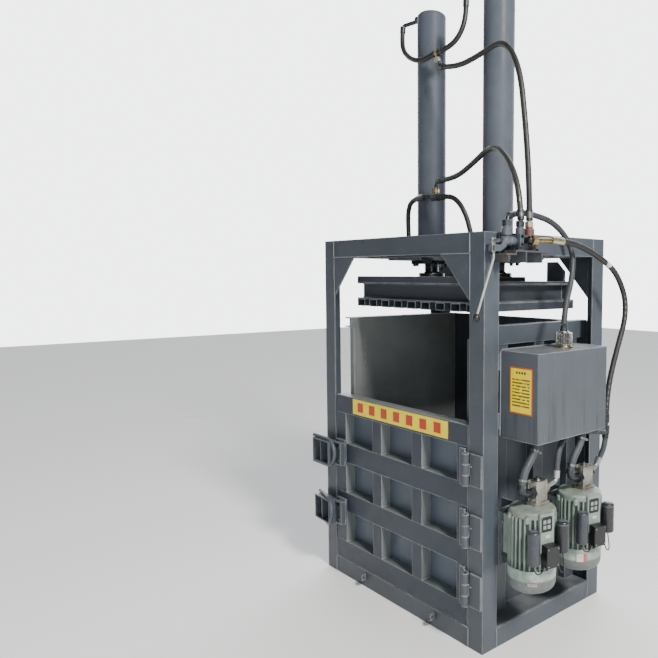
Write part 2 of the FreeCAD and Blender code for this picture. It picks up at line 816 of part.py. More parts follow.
def relief_block():
    low = shelf_top + 21
    outline = [(576, -205), (628, -205, 6), (628, -152, 10), (576, -152, 10)]
    block = face(outline, plan(low)).extrude(Vector(0, 0, 38))
    foot = box((584, 620), (-203, -158), (shelf_top, low + 2))
    boss = turned([(0, -36), (21, -36), (21, -7, 6), (16, -4), (16, 0), (0, 0)], port_b.x, port_b.y)
    boss.translate(Vector(0, 0, port_b.z))
    return fused([block, foot, boss])


# The spool slides front to back. A pin across its fork sits in the slot of the lever's plate.
def valve_spool():
    rod = cylinder(spool_radius, Vector(valve_x, -358, spool_height), Vector(valve_x, -275, spool_height))
    cheeks = []
    for x in (587, 606.5):
        outline = [(-356, spool_height - spool_radius), (-356, spool_height + spool_radius),
                   (-380, spool_height + spool_radius, 6), (-380, spool_height - spool_radius, 6)]
        cheeks.append(face(outline, side_view(x)).extrude(Vector(6.5, 0, 0)))
    bridge = box((587, 613), (-360, -354), (spool_height - spool_radius, spool_height + spool_radius))
    pin = cylinder(4, Vector(587, lever_pivot.y, spool_height), Vector(613, lever_pivot.y, spool_height))
    return fused([rod, bridge, pin] + cheeks)


def lever_rod():
    root = lever_pivot - Vector(0, 0, 14)
    return tube([root, root - Vector(0, 0, 24), knob_centre], 4, 30)[0]


def valve_lever():
    low = lever_pivot.z - 16
    high = spool_height + 10
    slot = spool_height - 6
    outline = [(-366, low), (-364, high, 3), (-367.7, high), (-367.7, slot), (-376.3, slot), (-376.3, high),
               (-380, high, 3), (-379, low)]
    plate = face(outline, side_view(596.5)).extrude(Vector(7, 0, 0))
    rod = lever_rod()
    pivot = cylinder(5 + bearing_gap, Vector(590, lever_pivot.y, lever_pivot.z),
                     Vector(610, lever_pivot.y, lever_pivot.z))
    return fused([plate, rod]).cut(pivot)


def lever_knob():
    return Part.makeSphere(knob_radius, knob_centre).cut(lever_rod())


# ---- hoses ----
# Every route is a list of hand-chosen points from one hose end to the other.
hose_routes = {
    "left_top": [(-388, -26, 2694), (-384, -34, 2636), (-337, -52, 2574), (-250, -68, 2520),
                 (-170, -66, 2505), (-111, -60, 2519)],
    "right_top": [(-52, -60, 2521), (14, -58, 2530), (60, -44, 2574), (78, -30, 2644), (75, -26, 2694)],
    "left_low": [(-345, -24, 1672), (-343, -30, 1738), (-330, -40, 1806), (-290, -52, 1853),
                 (-234, -60, 1858)],
    "right_low": [(-42, -60, 1852), (10, -60, 1854), (60, -50, 1822), (93, -38, 1762), (108, -30, 1706),
                  (114, -25, 1672)],
    "upper_riser": [(-36, -62, 2446), (70, -78, 2418), (225, -98, 2424), (405, -124, 2450), (518, -150, 2312),
                    (566, -166, 2085), (598, -177, 1860), (602, -178, 1742)],
    "lower_riser": [(-50, -62, 1930), (60, -78, 1926), (200, -100, 1972), (350, -130, 2032),
                    (490, -182, 1955), (585, -221, 1830), (600, -228, 1738)],
    "return": [(586, -262, 1716), (566, -205, 1729), (556, -120, 1733), (572, 20, 1704), (606, 98, 1600),
               (625, 68, 1470), (652, -10, 1362), (657, -22, 1290)],
    "pressure": [(650, -28, 1622), (656, 48, 1618), (682, 170, 1568), (690, 300, 1500), (696, 380, 1345),
                 (700, 285, 1150), (703, 225, 1005), (705, 216, 896)],
    "front_pump": [(703, 176, 828), (660, 112, 832), (658, 26, 830), (682, -52, 824), (691, -92, 776),
                   (690, -96, 712)],
    "rear_pump": [(705, 212, 792), (707, 206, 752), (690, 199, 712)],
    "front_suction": [(700, -236, 833), (700, -258, 792), (700, -300, 750), (700, -313, 700)],
    "rear_suction": [(700, 59, 833), (700, 42, 790), (700, -2, 748), (700, -18, 700)],
}


def hoses(*names, radius=hose_radius):
    return [hose(name, at(hose_routes[name]), radius) for name in names]


# A straight end or a tee's arm: a pipe from its centre, and the sleeve in line with the hose.
def tee_arm(centre, route, leg=30, sleeve=26, bend=16):
    end, following = at(route)
    along = (following - end).normalize()
    pipe = tube([centre, end - along * leg, end], hose_radius - 2, bend)[0]
    crimp = cylinder(hose_radius + 2.5, end - along * sleeve, end)
    return [pipe, crimp]


# ---- hose fittings ----
# A cylinder's port looks out to the front left, towards the hose's end.
def cylinder_port(x, route, height):
    facing = (route[0][0] - x, route[0][1] - cylinder_y, 0)
    solid = hose_end((x, cylinder_y, height), facing, route, nut=barrel_radius + 18)
    barrel = cylinder(barrel_radius, Vector(x, cylinder_y, height - 60), Vector(x, cylinder_y, height + 60))
    return solid.cut(barrel)


def pump_fittings(y, suction, outlet):
    middle = y + pump_shift
    inlet_route = hose_routes[suction]
    outlet_route = hose_routes[outlet]
    inlet = hose_end((700, middle - pump_half, pump_port), (0, -1, 0), inlet_route[::-1][:2],
                     suction_radius, 34, 20, 22, 24)
    outlet = hose_end((motor_x, middle + pump_half, pump_port), (0, 1, 0), outlet_route[::-1][:2],
                      leg=44, nut=24, bend=20)
    end, following = at(inlet_route[:2])
    along = (following - end).normalize()
    nipple = cylinder(suction_radius - 3, end - along * 40, end)
    base = Vector(end.x, end.y, tank_z[0])
    under_tank = box((end.x - 60, end.x + 60), (end.y - 60, end.y + 60), (end.z - 30, base.z))
    spout = fused([hexagon(36, base, base - Vector(0, 0, 9)), nipple.common(under_tank)])
    return [inlet, outlet, spout]


def hose_fittings():
    sleeve_top = hose_routes["return"][-1][2] - 2.5
    solids = [
        cylinder_port(-cylinder_x, hose_routes["left_top"][:2], top_port),
        cylinder_port(cylinder_x, hose_routes["right_top"][::-1][:2], top_port),
        cylinder_port(-cylinder_x, hose_routes["left_low"][:2], low_port),
        cylinder_port(cylinder_x, hose_routes["right_low"][::-1][:2], low_port),
        hose_end(return_port, (0, 0, 1), hose_routes["return"][:2], leg=34, sleeve=24, nut=22, bend=16),
        hose_end(port_a, (0, 0, 1), hose_routes["lower_riser"][::-1][:2], leg=42, sleeve=40, nut=22, bend=60),
        hose_end(port_b, (0, 0, 1), hose_routes["upper_riser"][::-1][:2], leg=44, sleeve=44, nut=22, bend=60),
        turned([(0, filler_top), (16, filler_top), (16, filler_top + 8, 3), (13.5, filler_top + 9),
                (13.5, sleeve_top), (0, sleeve_top)], filler_x, filler_y),
    ]
    solids += pump_fittings(motor_ys[0], "front_suction", "front_pump")
    solids += pump_fittings(motor_ys[1], "rear_suction", "rear_pump")
    return solids


# The pressure line leaves the valve's side in an elbow, and runs back in a nut, a pipe and a sleeve.
def pressure_fitting():
    axis = pressure_axis
    along = Vector(0, 1, 0)
    stub = cylinder(12, Vector(622, axis.y, axis.z), axis)
    corner = Part.makeSphere(15, axis)
    collar = cylinder(14, axis, axis + along * 6)
    nut = hexagon(33, axis + along * 4, axis + along * 34)
    arm = tee_arm(axis + along * 30, hose_routes["pressure"][:2], 64, 66)
    return fused([stub, corner, collar, nut] + arm)


# Upper tee: two arms to the cylinders' top hoses, and a leg that turns to the riser below it.
def upper_tee():
    centre = Vector(-84, -60, 2519.5)
    middle = hexagon(30, Vector(-96, -60, 2519), Vector(-70, -60, 2520))
    nut = hexagon(28, Vector(-84, -60, 2497), Vector(-80, -60, 2478))
    leg = tee_arm(Vector(-86, -60, 2512), hose_routes["upper_riser"][:2], 30, 24, 18)
    left = tee_arm(centre, hose_routes["left_top"][::-1][:2], 12, 8, 12)
    right = tee_arm(centre, hose_routes["right_top"][:2], 16, 12, 12)
    return fused([middle, nut] + leg + left + right)


# Lower tee: its left arm carries a long sleeve, and an elbow turns from its top to the riser.
def lower_tee():
    centre = Vector(-94, -60, 1853)
    middle = hexagon(30, Vector(-116, -60, 1853.5), Vector(-74, -60, 1852.5))
    nut = hexagon(30, Vector(-94, -60, 1876), Vector(-93.5, -60, 1894))
    leg = tee_arm(Vector(-94, -60, 1858), hose_routes["lower_riser"][:2], 44, 30, 20)
    left = tee_arm(centre, hose_routes["left_low"][::-1][:2], 70, 62, 16)
    right = tee_arm(centre, hose_routes["right_low"][:2], 24, 20, 16)
    return fused([middle, nut] + leg + left + right)


# Pump tee: it joins both pumps' hoses to the pressure line.
def pump_tee():
    centre = Vector(705, 214, 828)
    middle = hexagon(32, Vector(705, 215, 850), Vector(705, 213, 812))
    up = tee_arm(centre, hose_routes["pressure"][::-1][:2], 40, 36)
    down = tee_arm(centre, hose_routes["rear_pump"][:2], 24, 20)
    side = tee_arm(centre, hose_routes["front_pump"][:2], 26, 22)
    return fused([middle] + up + down + side)


# ---- every sub-part ----
for x_name, x_sign in (("left", -1), ("right", 1)):
    for y_name, y_sign in (("front", -1), ("back", 1)):
        export("post_%s_%s" % (y_name, x_name), [post(x_sign, y_sign)])
export("top_beams", ring_of_beams(frame_height - beam_height))
export("base_beams", ring_of_beams(0) + floor_bearers())
export("gussets", gussets())
export("cross_beams", cross_beams())
export("right_wall", side_wall())
export("left_wall", [mirrored(solid) for solid in side_wall()])
export("back_wall", back_wall())
export("chamber_floor", [chamber_floor()])
export("chamber_rims", [left_rim(), right_rim()])
export("cylinder_left", [cylinder_barrel(-cylinder_x)])
export("cylinder_right", [cylinder_barrel(cylinder_x)])
export("cylinder_glands", [gland(-cylinder_x), gland(cylinder_x)])
export("flange_bolts", flange_bolts())
export("post_hinge_knuckles", post_hinges())
export("hinge_pins", hinge_pins())
export("frame_lugs", latch_keepers() + sill_lugs())
export("oil_tank", [oil_tank()])
export("filler_cap", [filler_cap()])
export("motor_front", [motor(motor_ys[0])])
export("motor_rear", [motor(motor_ys[1])])
export("fan_cowls", [fan_cowl(y) for y in motor_ys])
export("rotor_front", [rotor(motor_ys[0])])
export("rotor_rear", [rotor(motor_ys[1])])
export("gear_pumps", [gear_pump(y) for y in motor_ys])
export("terminal_boxes", [terminal_box(y) for y in motor_ys])
export("capacitors", [capacitor(y, angle, low, high) for y in motor_ys
                      for angle, low, high in ((-46, 419, 550), (22, 440, 564))])
export("power_unit_brackets", tank_rails() + [motor_bracket(y) for y in motor_ys])
export("valve_bracket", [valve_bracket()])
export("valve_body", [valve_body()])
export("relief_block", [relief_block()])
export("hose_fittings", hose_fittings())
export("pressure_fitting", [pressure_fitting()])

export("platen_frame", platen_frame())
export("platen_plate", platen_plate())
export("platen_bars", platen_bars())
export("platen_guides", platen_guides())
export("piston_rods", [piston_rod(-cylinder_x), piston_rod(cylinder_x)])

export("door_panel", [door_panel()])
export("door_grid", door_grid())
export("door_hinge_knuckles", door_hinges())
export("latch_mounts", [latch_mount(height) for height in latch_heights])
export("latch_upper", [latch(latch_heights[0], 0, 0)])
export("latch_lower", [latch(latch_heights[1], -3, -12)])

export("valve_spool", [valve_spool()])
export("valve_lever", [valve_lever()])
export("lever_knob", [lever_knob()])

export("upper_tee", [upper_tee()])
export("lower_tee", [lower_tee()])
export("pump_tee", [pump_tee()])
export("upper_cylinder_hoses", hoses("left_top", "right_top"))
export("lower_cylinder_hoses", hoses("left_low", "right_low"))
export("riser_hoses", hoses("upper_riser", "lower_riser"))
export("return_hose", hoses("return"))
export("pressure_hose", hoses("pressure"))
export("pump_hoses", hoses("front_pump", "rear_pump"))
export("suction_hoses", hoses("front_suction", "rear_suction", radius=suction_radius))
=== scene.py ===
import bmesh
import bpy
import math
from mathutils import Matrix, Vector


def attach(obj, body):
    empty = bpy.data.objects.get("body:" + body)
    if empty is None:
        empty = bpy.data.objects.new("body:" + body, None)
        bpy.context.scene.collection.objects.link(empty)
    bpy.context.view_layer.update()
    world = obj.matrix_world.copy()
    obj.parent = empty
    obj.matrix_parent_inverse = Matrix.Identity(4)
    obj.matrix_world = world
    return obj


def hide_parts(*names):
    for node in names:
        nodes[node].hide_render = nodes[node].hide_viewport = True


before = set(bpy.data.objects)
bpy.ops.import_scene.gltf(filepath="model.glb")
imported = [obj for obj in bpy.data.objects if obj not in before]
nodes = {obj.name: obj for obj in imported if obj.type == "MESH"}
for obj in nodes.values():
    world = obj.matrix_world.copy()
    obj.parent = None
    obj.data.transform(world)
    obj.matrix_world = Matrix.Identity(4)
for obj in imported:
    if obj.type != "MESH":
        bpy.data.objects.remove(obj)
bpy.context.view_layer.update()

print("frame loaded:", len(nodes), "nodes")
up, down, right, front = (0, 0, 1), (0, 0, -1), (1, 0, 0), (0, -1, 0)


def put(name, data):
    made = bpy.data.objects.new(name, data)
    bpy.context.scene.collection.objects.link(made)
    return made


# camera, at the photograph's angle
camera = {"place": (2.326, -2.133, 1.481), "yaw": 136.0, "pitch": -4.37, "roll": 0.29,
          "lens": 36.2, "sensor": 36, "shift": (-0.2219, -0.003)}


def placeCamera():
    data = bpy.data.cameras.new("photoCamera")
    data.lens = camera["lens"]
    data.sensor_width = camera["sensor"]
    data.shift_x, data.shift_y = camera["shift"]
    held = put("photoCamera", data)
    yaw, pitch, roll = (math.radians(camera[key]) for key in ("yaw", "pitch", "roll"))
    turn = Matrix.Rotation(yaw - math.pi / 2, 4, "Z") @ Matrix.Rotation(math.pi / 2 + pitch, 4, "X")
    held.matrix_world = Matrix.Translation(camera["place"]) @ turn @ Matrix.Rotation(roll, 4, "Z")
    bpy.context.scene.camera = held


placeCamera()
print("camera placed")


# hoses: real length in metres, and the points that each one is led by, in metres
hoses = {
    "left_top": {"node": "upper_cylinder_hoses", "length": 0.38, "route": [
        (-0.388, -0.026, 2.694), (-0.384, -0.034, 2.636), (-0.337, -0.052, 2.574),
        (-0.25, -0.068, 2.52), (-0.17, -0.066, 2.505), (-0.111, -0.06, 2.519)]},
    "right_top": {"node": "upper_cylinder_hoses", "length": 0.252, "route": [
        (-0.052, -0.06, 2.521), (0.014, -0.058, 2.53), (0.06, -0.044, 2.574),
        (0.078, -0.03, 2.644), (0.075, -0.026, 2.694)]},
    "left_low": {"node": "lower_cylinder_hoses", "length": 0.252, "route": [
        (-0.345, -0.024, 1.672), (-0.343, -0.03, 1.738), (-0.33, -0.04, 1.806),
        (-0.29, -0.052, 1.853), (-0.234, -0.06, 1.858)]},
    "right_low": {"node": "lower_cylinder_hoses", "length": 0.272, "route": [
        (-0.042, -0.06, 1.852), (0.01, -0.06, 1.854), (0.06, -0.05, 1.822),
        (0.093, -0.038, 1.762), (0.108, -0.03, 1.706), (0.114, -0.025, 1.672)]},
    "upper_riser": {"node": "riser_hoses", "length": 1.191, "route": [
        (-0.036, -0.062, 2.446), (0.07, -0.078, 2.418), (0.225, -0.098, 2.424),
        (0.405, -0.124, 2.45), (0.518, -0.15, 2.312), (0.566, -0.166, 2.085),
        (0.598, -0.177, 1.86), (0.602, -0.178, 1.742)]},
    "lower_riser": {"node": "riser_hoses", "length": 0.834, "route": [
        (-0.05, -0.062, 1.93), (0.06, -0.078, 1.926), (0.2, -0.1, 1.972),
        (0.35, -0.13, 2.032), (0.49, -0.182, 1.955), (0.585, -0.221, 1.83),
        (0.6, -0.228, 1.738)]},
    "return": {"node": "return_hose", "length": 0.753, "route": [
        (0.586, -0.262, 1.716), (0.566, -0.205, 1.729), (0.556, -0.12, 1.733),
        (0.572, 0.02, 1.704), (0.606, 0.098, 1.6), (0.625, 0.068, 1.47),
        (0.652, -0.01, 1.362), (0.657, -0.022, 1.29)]},
    "pressure": {"node": "pressure_hose", "length": 0.997, "route": [
        (0.65, -0.028, 1.622), (0.656, 0.048, 1.618), (0.682, 0.17, 1.568),
        (0.69, 0.3, 1.5), (0.696, 0.38, 1.345), (0.7, 0.285, 1.15),
        (0.703, 0.225, 1.005), (0.705, 0.216, 0.896)]},
    "front_pump": {"node": "pump_hoses", "length": 0.365, "route": [
        (0.703, 0.176, 0.828), (0.66, 0.112, 0.832), (0.658, 0.026, 0.83),
        (0.682, -0.052, 0.824), (0.691, -0.092, 0.776), (0.69, -0.096, 0.712)]},
    "rear_pump": {"node": "pump_hoses", "length": 0.084, "route": [
        (0.705, 0.212, 0.792), (0.707, 0.206, 0.752), (0.69, 0.199, 0.712)]},
    "front_suction": {"node": "suction_hoses", "size": 0.03, "length": 0.156, "route": [
        (0.7, -0.236, 0.833), (0.7, -0.258, 0.792), (0.7, -0.3, 0.75),
        (0.7, -0.313, 0.7)]},
    "rear_suction": {"node": "suction_hoses", "size": 0.03, "length": 0.156, "route": [
        (0.7, 0.059, 0.833), (0.7, 0.042, 0.79), (0.7, -0.002, 0.748),
        (0.7, -0.018, 0.7)]},
}

# NURBS order, steps between points, roundness, the shortest cord in diameters, the usual size
tube = {"order": 3, "steps": 12, "hoseRound": 6, "wireRound": 4, "leastCord": 6, "size": 0.024}


def layTube(name, route, size, roundness):
    # the points carry the tube's radius, so that the curve's own bounds are the tube's
    curve = bpy.data.curves.new(name, "CURVE")
    curve.dimensions = "3D"
    curve.bevel_depth = 1.0
    curve.bevel_resolution = roundness
    curve.use_fill_caps = True
    line = curve.splines.new("NURBS")
    line.points.add(len(route) - 1)
    for point, place in zip(line.points, route):
        point.co = (*place, 1)
        point.radius = size / 2
    line.order_u = tube["order"]
    line.use_endpoint_u = True
    line.resolution_u = tube["steps"]
    piece = put(name, curve)
    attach(piece, "frame")
    return piece


def layHose(name, facts):
    size = facts.get("size", tube["size"])
    piece = layTube("hose_" + name, facts["route"], size, tube["hoseRound"])
    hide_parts(facts["node"])
    return piece


laid = {name: layHose(name, facts) for name, facts in hoses.items()}
print("hoses laid:", len(laid))


# shader kit
def operator(operation, turned=False):
    def work(self, other):
        pair = (other, self) if turned else (self, other)
        return self.paint.maths(operation, *pair)
    return work


class Wire:
    def __init__(self, paint, socket):
        self.paint = paint
        self.socket = socket

    __add__ = __radd__ = operator("ADD")
    __sub__ = operator("SUBTRACT")
    __rsub__ = operator("SUBTRACT", turned=True)
    __mul__ = __rmul__ = operator("MULTIPLY")
    __gt__ = operator("GREATER_THAN")
    __lt__ = operator("LESS_THAN")
    __pow__ = operator("POWER")
    __mod__ = operator("FLOORED_MODULO")


finishes = {}


class Paint:
    def __init__(self, name, kind="materials", end="Principled BSDF", coordinates="Object"):
        self.held = getattr(bpy.data, kind).new(name)
        self.held.use_nodes = True
        self.tree = self.held.node_tree
        self.end = self.tree.nodes[end]
        self.place = self.node("ShaderNodeTexCoord", out=coordinates)

    def feed(self, socket, value):
        if isinstance(value, Wire):
            self.tree.links.new(value.socket, socket)
        else:
            socket.default_value = value

    def node(self, kind, values=(), out=0, **settings):
        made = self.tree.nodes.new(kind)
        for name, value in settings.items():
            setattr(made, name, value)
        for key, value in (values.items() if isinstance(values, dict) else enumerate(values)):
            self.feed(made.inputs[key], value)
        return Wire(self, made.outputs[out])

    def maths(self, operation, *values):
        return self.node("ShaderNodeMath", values, operation=operation)

    def dot(self, first, second):
        return self.node("ShaderNodeVectorMath", [first, second], "Value", operation="DOT_PRODUCT")

    def noise(self, scale, detail=4, roughness=0.55, stretch=(1, 1, 1), shift=0.0):
        placed = self.node("ShaderNodeMapping", {
            "Vector": self.place, "Scale": stretch, "Location": (shift, shift * 0.7, shift * 1.3)})
        return self.node("ShaderNodeTexNoise", {
            "Vector": placed, "Scale": scale, "Detail": detail, "Roughness": roughness})

    def local(self, centre, turn):
        # coordinates centred on a plate and turned about Z with it, in degrees
        self.place = self.node("ShaderNodeMapping", {
            "Vector": self.place, "Location": centre, "Rotation": (0, 0, math.radians(turn))},
            vector_type="TEXTURE")

    def blocks(self, which, first, pitch, width, count):
        # one block in each pitch along an axis, a given number of times
        along = self.axis(which) - first
        return ((along % pitch) < width) * (along > 0.0) * (along < pitch * count)

    def between(self, value, low, high, start=0.0, end=1.0):
        return self.node("ShaderNodeMapRange", {
            "Value": value, "From Min": low, "From Max": high, "To Min": start, "To Max": end},
            interpolation_type="SMOOTHSTEP")

    def mix(self, factor, first, second):
        return self.node("ShaderNodeMix", {0: factor, 6: first, 7: second}, 2, data_type="RGBA")

    def clouded(self, cloud, dark, pale, low=0.3, high=0.7):
        return self.mix(self.between(cloud, low, high), dark, pale)

    def axis(self, which):
        return self.node("ShaderNodeSeparateXYZ", [self.place], which)

    def ball(self, centre, radius):
        far = self.node("ShaderNodeVectorMath", [self.place, centre], "Value", operation="DISTANCE")
        return self.between(far, radius * 0.95, radius * 1.05, 1, 0)

    def spots(self, colour, places, strength):
        # balls of another tone, each with its centre, radius and tone
        for centre, radius, tone in places:
            colour = self.mix(self.ball(centre, radius) * strength, colour, shade(tone))
        return colour

    def slab(self, which, low, high, soft=0.0004):
        along = self.axis(which)
        rising = self.between(along, low - soft, low + soft)
        return rising * self.between(along, high - soft, high + soft, 1, 0)

    def ring(self, centre, low, high):
        # a band of distances from an upright line, sharper inside than outside
        across, along = self.axis(0) - centre[0], self.axis(1) - centre[1]
        far = (across * across + along * along) ** 0.5
        return self.between(far, low - 0.0005, low) * self.between(far, high, high + 0.003, 1, 0)

    def flat(self):
        return self.node("ShaderNodeNewGeometry", out="Normal")

    def rounded(self, width):
        return self.node("ShaderNodeBevel", {"Radius": width}, samples=6)

    def facing(self, direction, low, high):
        return self.between(self.dot(self.flat(), direction), low, high)

    def edges(self, width, strength=1.0):
        return self.between(1 - self.dot(self.rounded(width), self.flat()), 0.01, 0.3 / strength)

    def bump(self, height, depth, strength, soft=None):
        values = {"Height": height, "Distance": depth, "Strength": strength}
        if soft:
            values["Normal"] = self.rounded(soft)
        return self.node("ShaderNodeBump", values)

    def finish(self, colour, dull, relief=None, metal=0.0, others=None):
        # relief is a bump's height, depth, strength and the width its edges are rounded by
        values = {"Base Color": colour, "Roughness": dull, "Metallic": metal, **(others or {})}
        if relief:
            values["Normal"] = self.bump(*relief)
        for key, value in values.items():
            self.feed(self.end.inputs[key], value)
        finishes[self.held.name] = self.held


def shade(tone, factor=1.0):
    # a screen colour, 0 to 255, as the shader's own
    return (*[((min(255, part * factor) / 255 + 0.055) / 1.055) ** 2.4 for part in tone], 1)


# materials
enamel = {"colour": (72, 79, 87), "deep": 0.9, "clouds": (0.55, 1.05), "dust": (118, 120, 118),
          "settled": 1.04, "oil": (50, 53, 57), "oilHeights": (0.86, 1.16), "edgeWearAndHighlight": (176, 181, 184),
          "chip": (176, 180, 180), "scratch": (146, 150, 152), "rough": (0.32, 0.54), "edge": 0.006,
          "round": 0.0018, "grain": 0.0012}
cellDepths = (-0.3765, -0.33)


def steelPaint(name, tone=enamel["colour"], dusty=0.06, chipped=0.6, inner=None, smudge=0.0, within=None,
               edgeWearAndHighlight=0.48, shine=0.45):
    paint = Paint(name)
    low = paint.noise(1.6, 3)
    mottle = paint.noise(14, 5, 0.6, shift=3)
    streak = paint.noise(9, 4, 0.6, stretch=(6, 6, 0.35), shift=5)
    speckle = paint.noise(320, 2, 0.5)
    scratch = paint.noise(34, 3, 0.5, stretch=(9, 9, 0.8), shift=11)

    def coated(tone):
        return paint.clouded(low + mottle * 0.6, shade(tone, enamel["deep"]), shade(tone), *enamel["clouds"])

    coat = coated(tone)
    if within:
        # the press chamber takes the given tone inside and is painted outside; inside, the side wall and
        # floor are rubbed bare and the back wall's darker tone is painted shade
        chamber = paint.slab(0, *within[0]) * paint.slab(1, *within[1])
        coat = paint.mix(chamber, coated(enamel["colour"]), coat)
    coat = paint.mix(paint.between(streak, 0.5, 0.8, 0, dusty), coat, shade(enamel["dust"]))
    settled = paint.facing(up, 0.7, 0.98) * paint.between(mottle, 0.3, 0.7, 0.15, 0.55)
    coat = paint.mix(settled, coat, shade(enamel["dust"], enamel["settled"]))
    if inner:
        # painted light: the cells' faces that look to the right and up are painted pale, as if lit
        pale = paint.facing(right, 0.8, 0.97) + paint.facing(up, 0.8, 0.97)
        coat = paint.mix(pale * paint.slab(1, *cellDepths), coat, shade(inner))
    if smudge:
        # oil runs, darkest towards the foot
        foot = paint.between(paint.axis(2), *enamel["oilHeights"], 1, 0.25)
        coat = paint.mix(foot * paint.between(streak, 0.53, 0.66) * smudge, coat, shade(enamel["oil"]))
    chips = paint.between(speckle, 0.7, 0.74) * paint.between(mottle, 0.5, 0.66)
    line = paint.between(scratch, 0.735, 0.75) * paint.between(low, 0.5, 0.6)
    # pale edges: partly real wear to bare metal and partly painted highlight along the edges
    edgeWearAndHighlightMask = paint.edges(enamel["edge"], 3.0) * paint.between(mottle, 0.3, 0.6, 0.4, 1.0)
    coat = paint.mix(edgeWearAndHighlightMask * edgeWearAndHighlight, coat, shade(enamel["edgeWearAndHighlight"]))
    coat = paint.mix(chips * chipped, coat, shade(enamel["chip"]))
    coat = paint.mix(line * 0.5, coat, shade(enamel["scratch"]))
    skin = paint.noise(210, 3, 0.5) * 0.3 + mottle * 0.7 + chips * -0.6
    paint.finish(coat, paint.between(mottle + streak * 0.5, 0.4, 1.0, *enamel["rough"]),
                 (skin, enamel["grain"], 0.35, enamel["round"]), 0.0, {"Specular IOR Level": shine})


def metal(name, tone, rough, darker=0.75, spots=0.0, spotTone=(110, 96, 70)):
    paint = Paint(name)
    cloud = paint.noise(22, 4, 0.6)
    fine = paint.noise(260, 3, 0.6)
    colour = paint.clouded(cloud, shade(tone, darker), shade(tone), 0.35)
    if spots:
        stain = paint.between(paint.noise(48, 5, 0.65, shift=9), 0.52, 0.68)
        colour = paint.mix(stain * spots, colour, shade(spotTone))
    # painted highlight: edges lightened to a paler copy of the tone
    colour = paint.mix(paint.edges(0.0012) * 0.35, colour, shade(tone, 1.25))
    dull = paint.between(cloud + fine * 0.5, 0.5, 1.0, rough - 0.07, rough + 0.12)
    paint.finish(colour, dull, (fine, 0.0004, 0.25, 0.0007), 1.0)


def castPaint(name, tone, rough, stainTone, stain, grain=0.0008, patches=()):
    # patches are (mask, tone) pairs that cover the coat with another tone: another finish, a stain, painted
    # light or painted shade
    paint = Paint(name)
    cloud = paint.noise(12, 4, 0.6)
    patch = paint.noise(34, 5, 0.65, shift=7)
    grit = paint.noise(420, 3, 0.6) * 0.6 + patch * 0.4
    colour = paint.clouded(cloud, shade(tone, 0.86), shade(tone))
    colour = paint.mix(paint.between(patch, 0.5, 0.72, 0, stain), colour, shade(stainTone))
    for mask, patchTone in patches:
        other = paint.clouded(patch, shade(patchTone, 0.82), shade(patchTone), 0.35, 0.65)
        colour = paint.mix(mask(paint, patch), colour, other)
    # painted highlight: edges lightened to a paler copy of the tone
    colour = paint.mix(paint.edges(0.0014) * 0.35, colour, shade(tone, 1.3))
    dull = paint.between(cloud + patch * 0.6, 0.5, 1.1, rough - 0.08, rough + 0.15)
    paint.finish(colour, dull, (grit, grain, 0.4, 0.001))


def rubber(name, tone, rough, scuffTone=(78, 80, 80), patches=()):
    paint = Paint(name)
    cloud = paint.noise(30, 4, 0.6)
    scuff = paint.noise(90, 5, 0.7, shift=4)
    colour = paint.clouded(cloud, shade(tone, 0.8), shade(tone))
    colour = paint.mix(paint.between(scuff, 0.56, 0.74, 0, 0.35), colour, shade(scuffTone))
    for mask, patchTone in patches:
        colour = paint.mix(mask(paint, scuff), colour, shade(patchTone))
    dull = paint.between(cloud + scuff * 0.5, 0.4, 1.0, rough - 0.1, rough + 0.15)
    paint.finish(colour, dull, (paint.noise(380, 3, 0.6), 0.0006, 0.3, 0.0008))


# fittings: mostly dark plated steel, and bright where a nut or pipe was left bare
brightPlaces = [
    ((0.602, -0.178, 1.684), 0.019, (186, 176, 138)), ((0.602, -0.178, 1.741), 0.006, (190, 190, 182)),
    ((0.69, -0.135, 0.672), 0.052, (176, 178, 176)), ((0.69, -0.098, 0.7), 0.022, (188, 188, 184)),
    ((0.7, -0.313, 0.694), 0.017, (150, 150, 146)), ((0.7, -0.018, 0.694), 0.017, (150, 150, 146)),
    ((0.602, -0.178, 1.72), 0.019, (124, 124, 116)), ((0.6, -0.228, 1.716), 0.019, (112, 114, 108)),
    ((0.69, 0.19, 0.672), 0.048, (166, 168, 166))]
darkPlating = {"tone": (74, 79, 84), "edgeWearAndHighlight": (170, 172, 170), "rough": (0.3, 0.52), "metal": 0.75}


def fittingMetal():
    paint = Paint("fittingSteel")
    cloud = paint.noise(40, 4, 0.6)
    fine = paint.noise(300, 3, 0.6)
    colour = paint.clouded(cloud, shade(darkPlating["tone"], 0.72), shade(darkPlating["tone"]), 0.35)
    colour = paint.spots(colour, brightPlaces, 0.92)
    # pale edges: partly worn plating and partly painted highlight
    colour = paint.mix(paint.edges(0.0012) * 0.4, colour, shade(darkPlating["edgeWearAndHighlight"]))
    paint.finish(colour, paint.between(cloud + fine * 0.5, 0.5, 1.0, *darkPlating["rough"]),
                 (fine, 0.0004, 0.25, 0.0007), darkPlating["metal"])


def teeMetal(name, places):
    paint = Paint(name)
    cloud = paint.noise(40, 4, 0.6)
    colour = paint.clouded(cloud, shade((58, 60, 62)), shade((86, 90, 92)), 0.35)
    paint.finish(paint.spots(colour, places, 0.9), paint.between(cloud, 0.35, 0.7, 0.3, 0.5),
                 (cloud, 0.0004, 0.2, 0.0007), 0.7)


pressureLine = {"dark": (-1.0, -0.2195), "seamed": (-0.1915, -0.094), "sleeve": (-0.094, 1.0),
                "seam": (1.6215, 1.6245)}


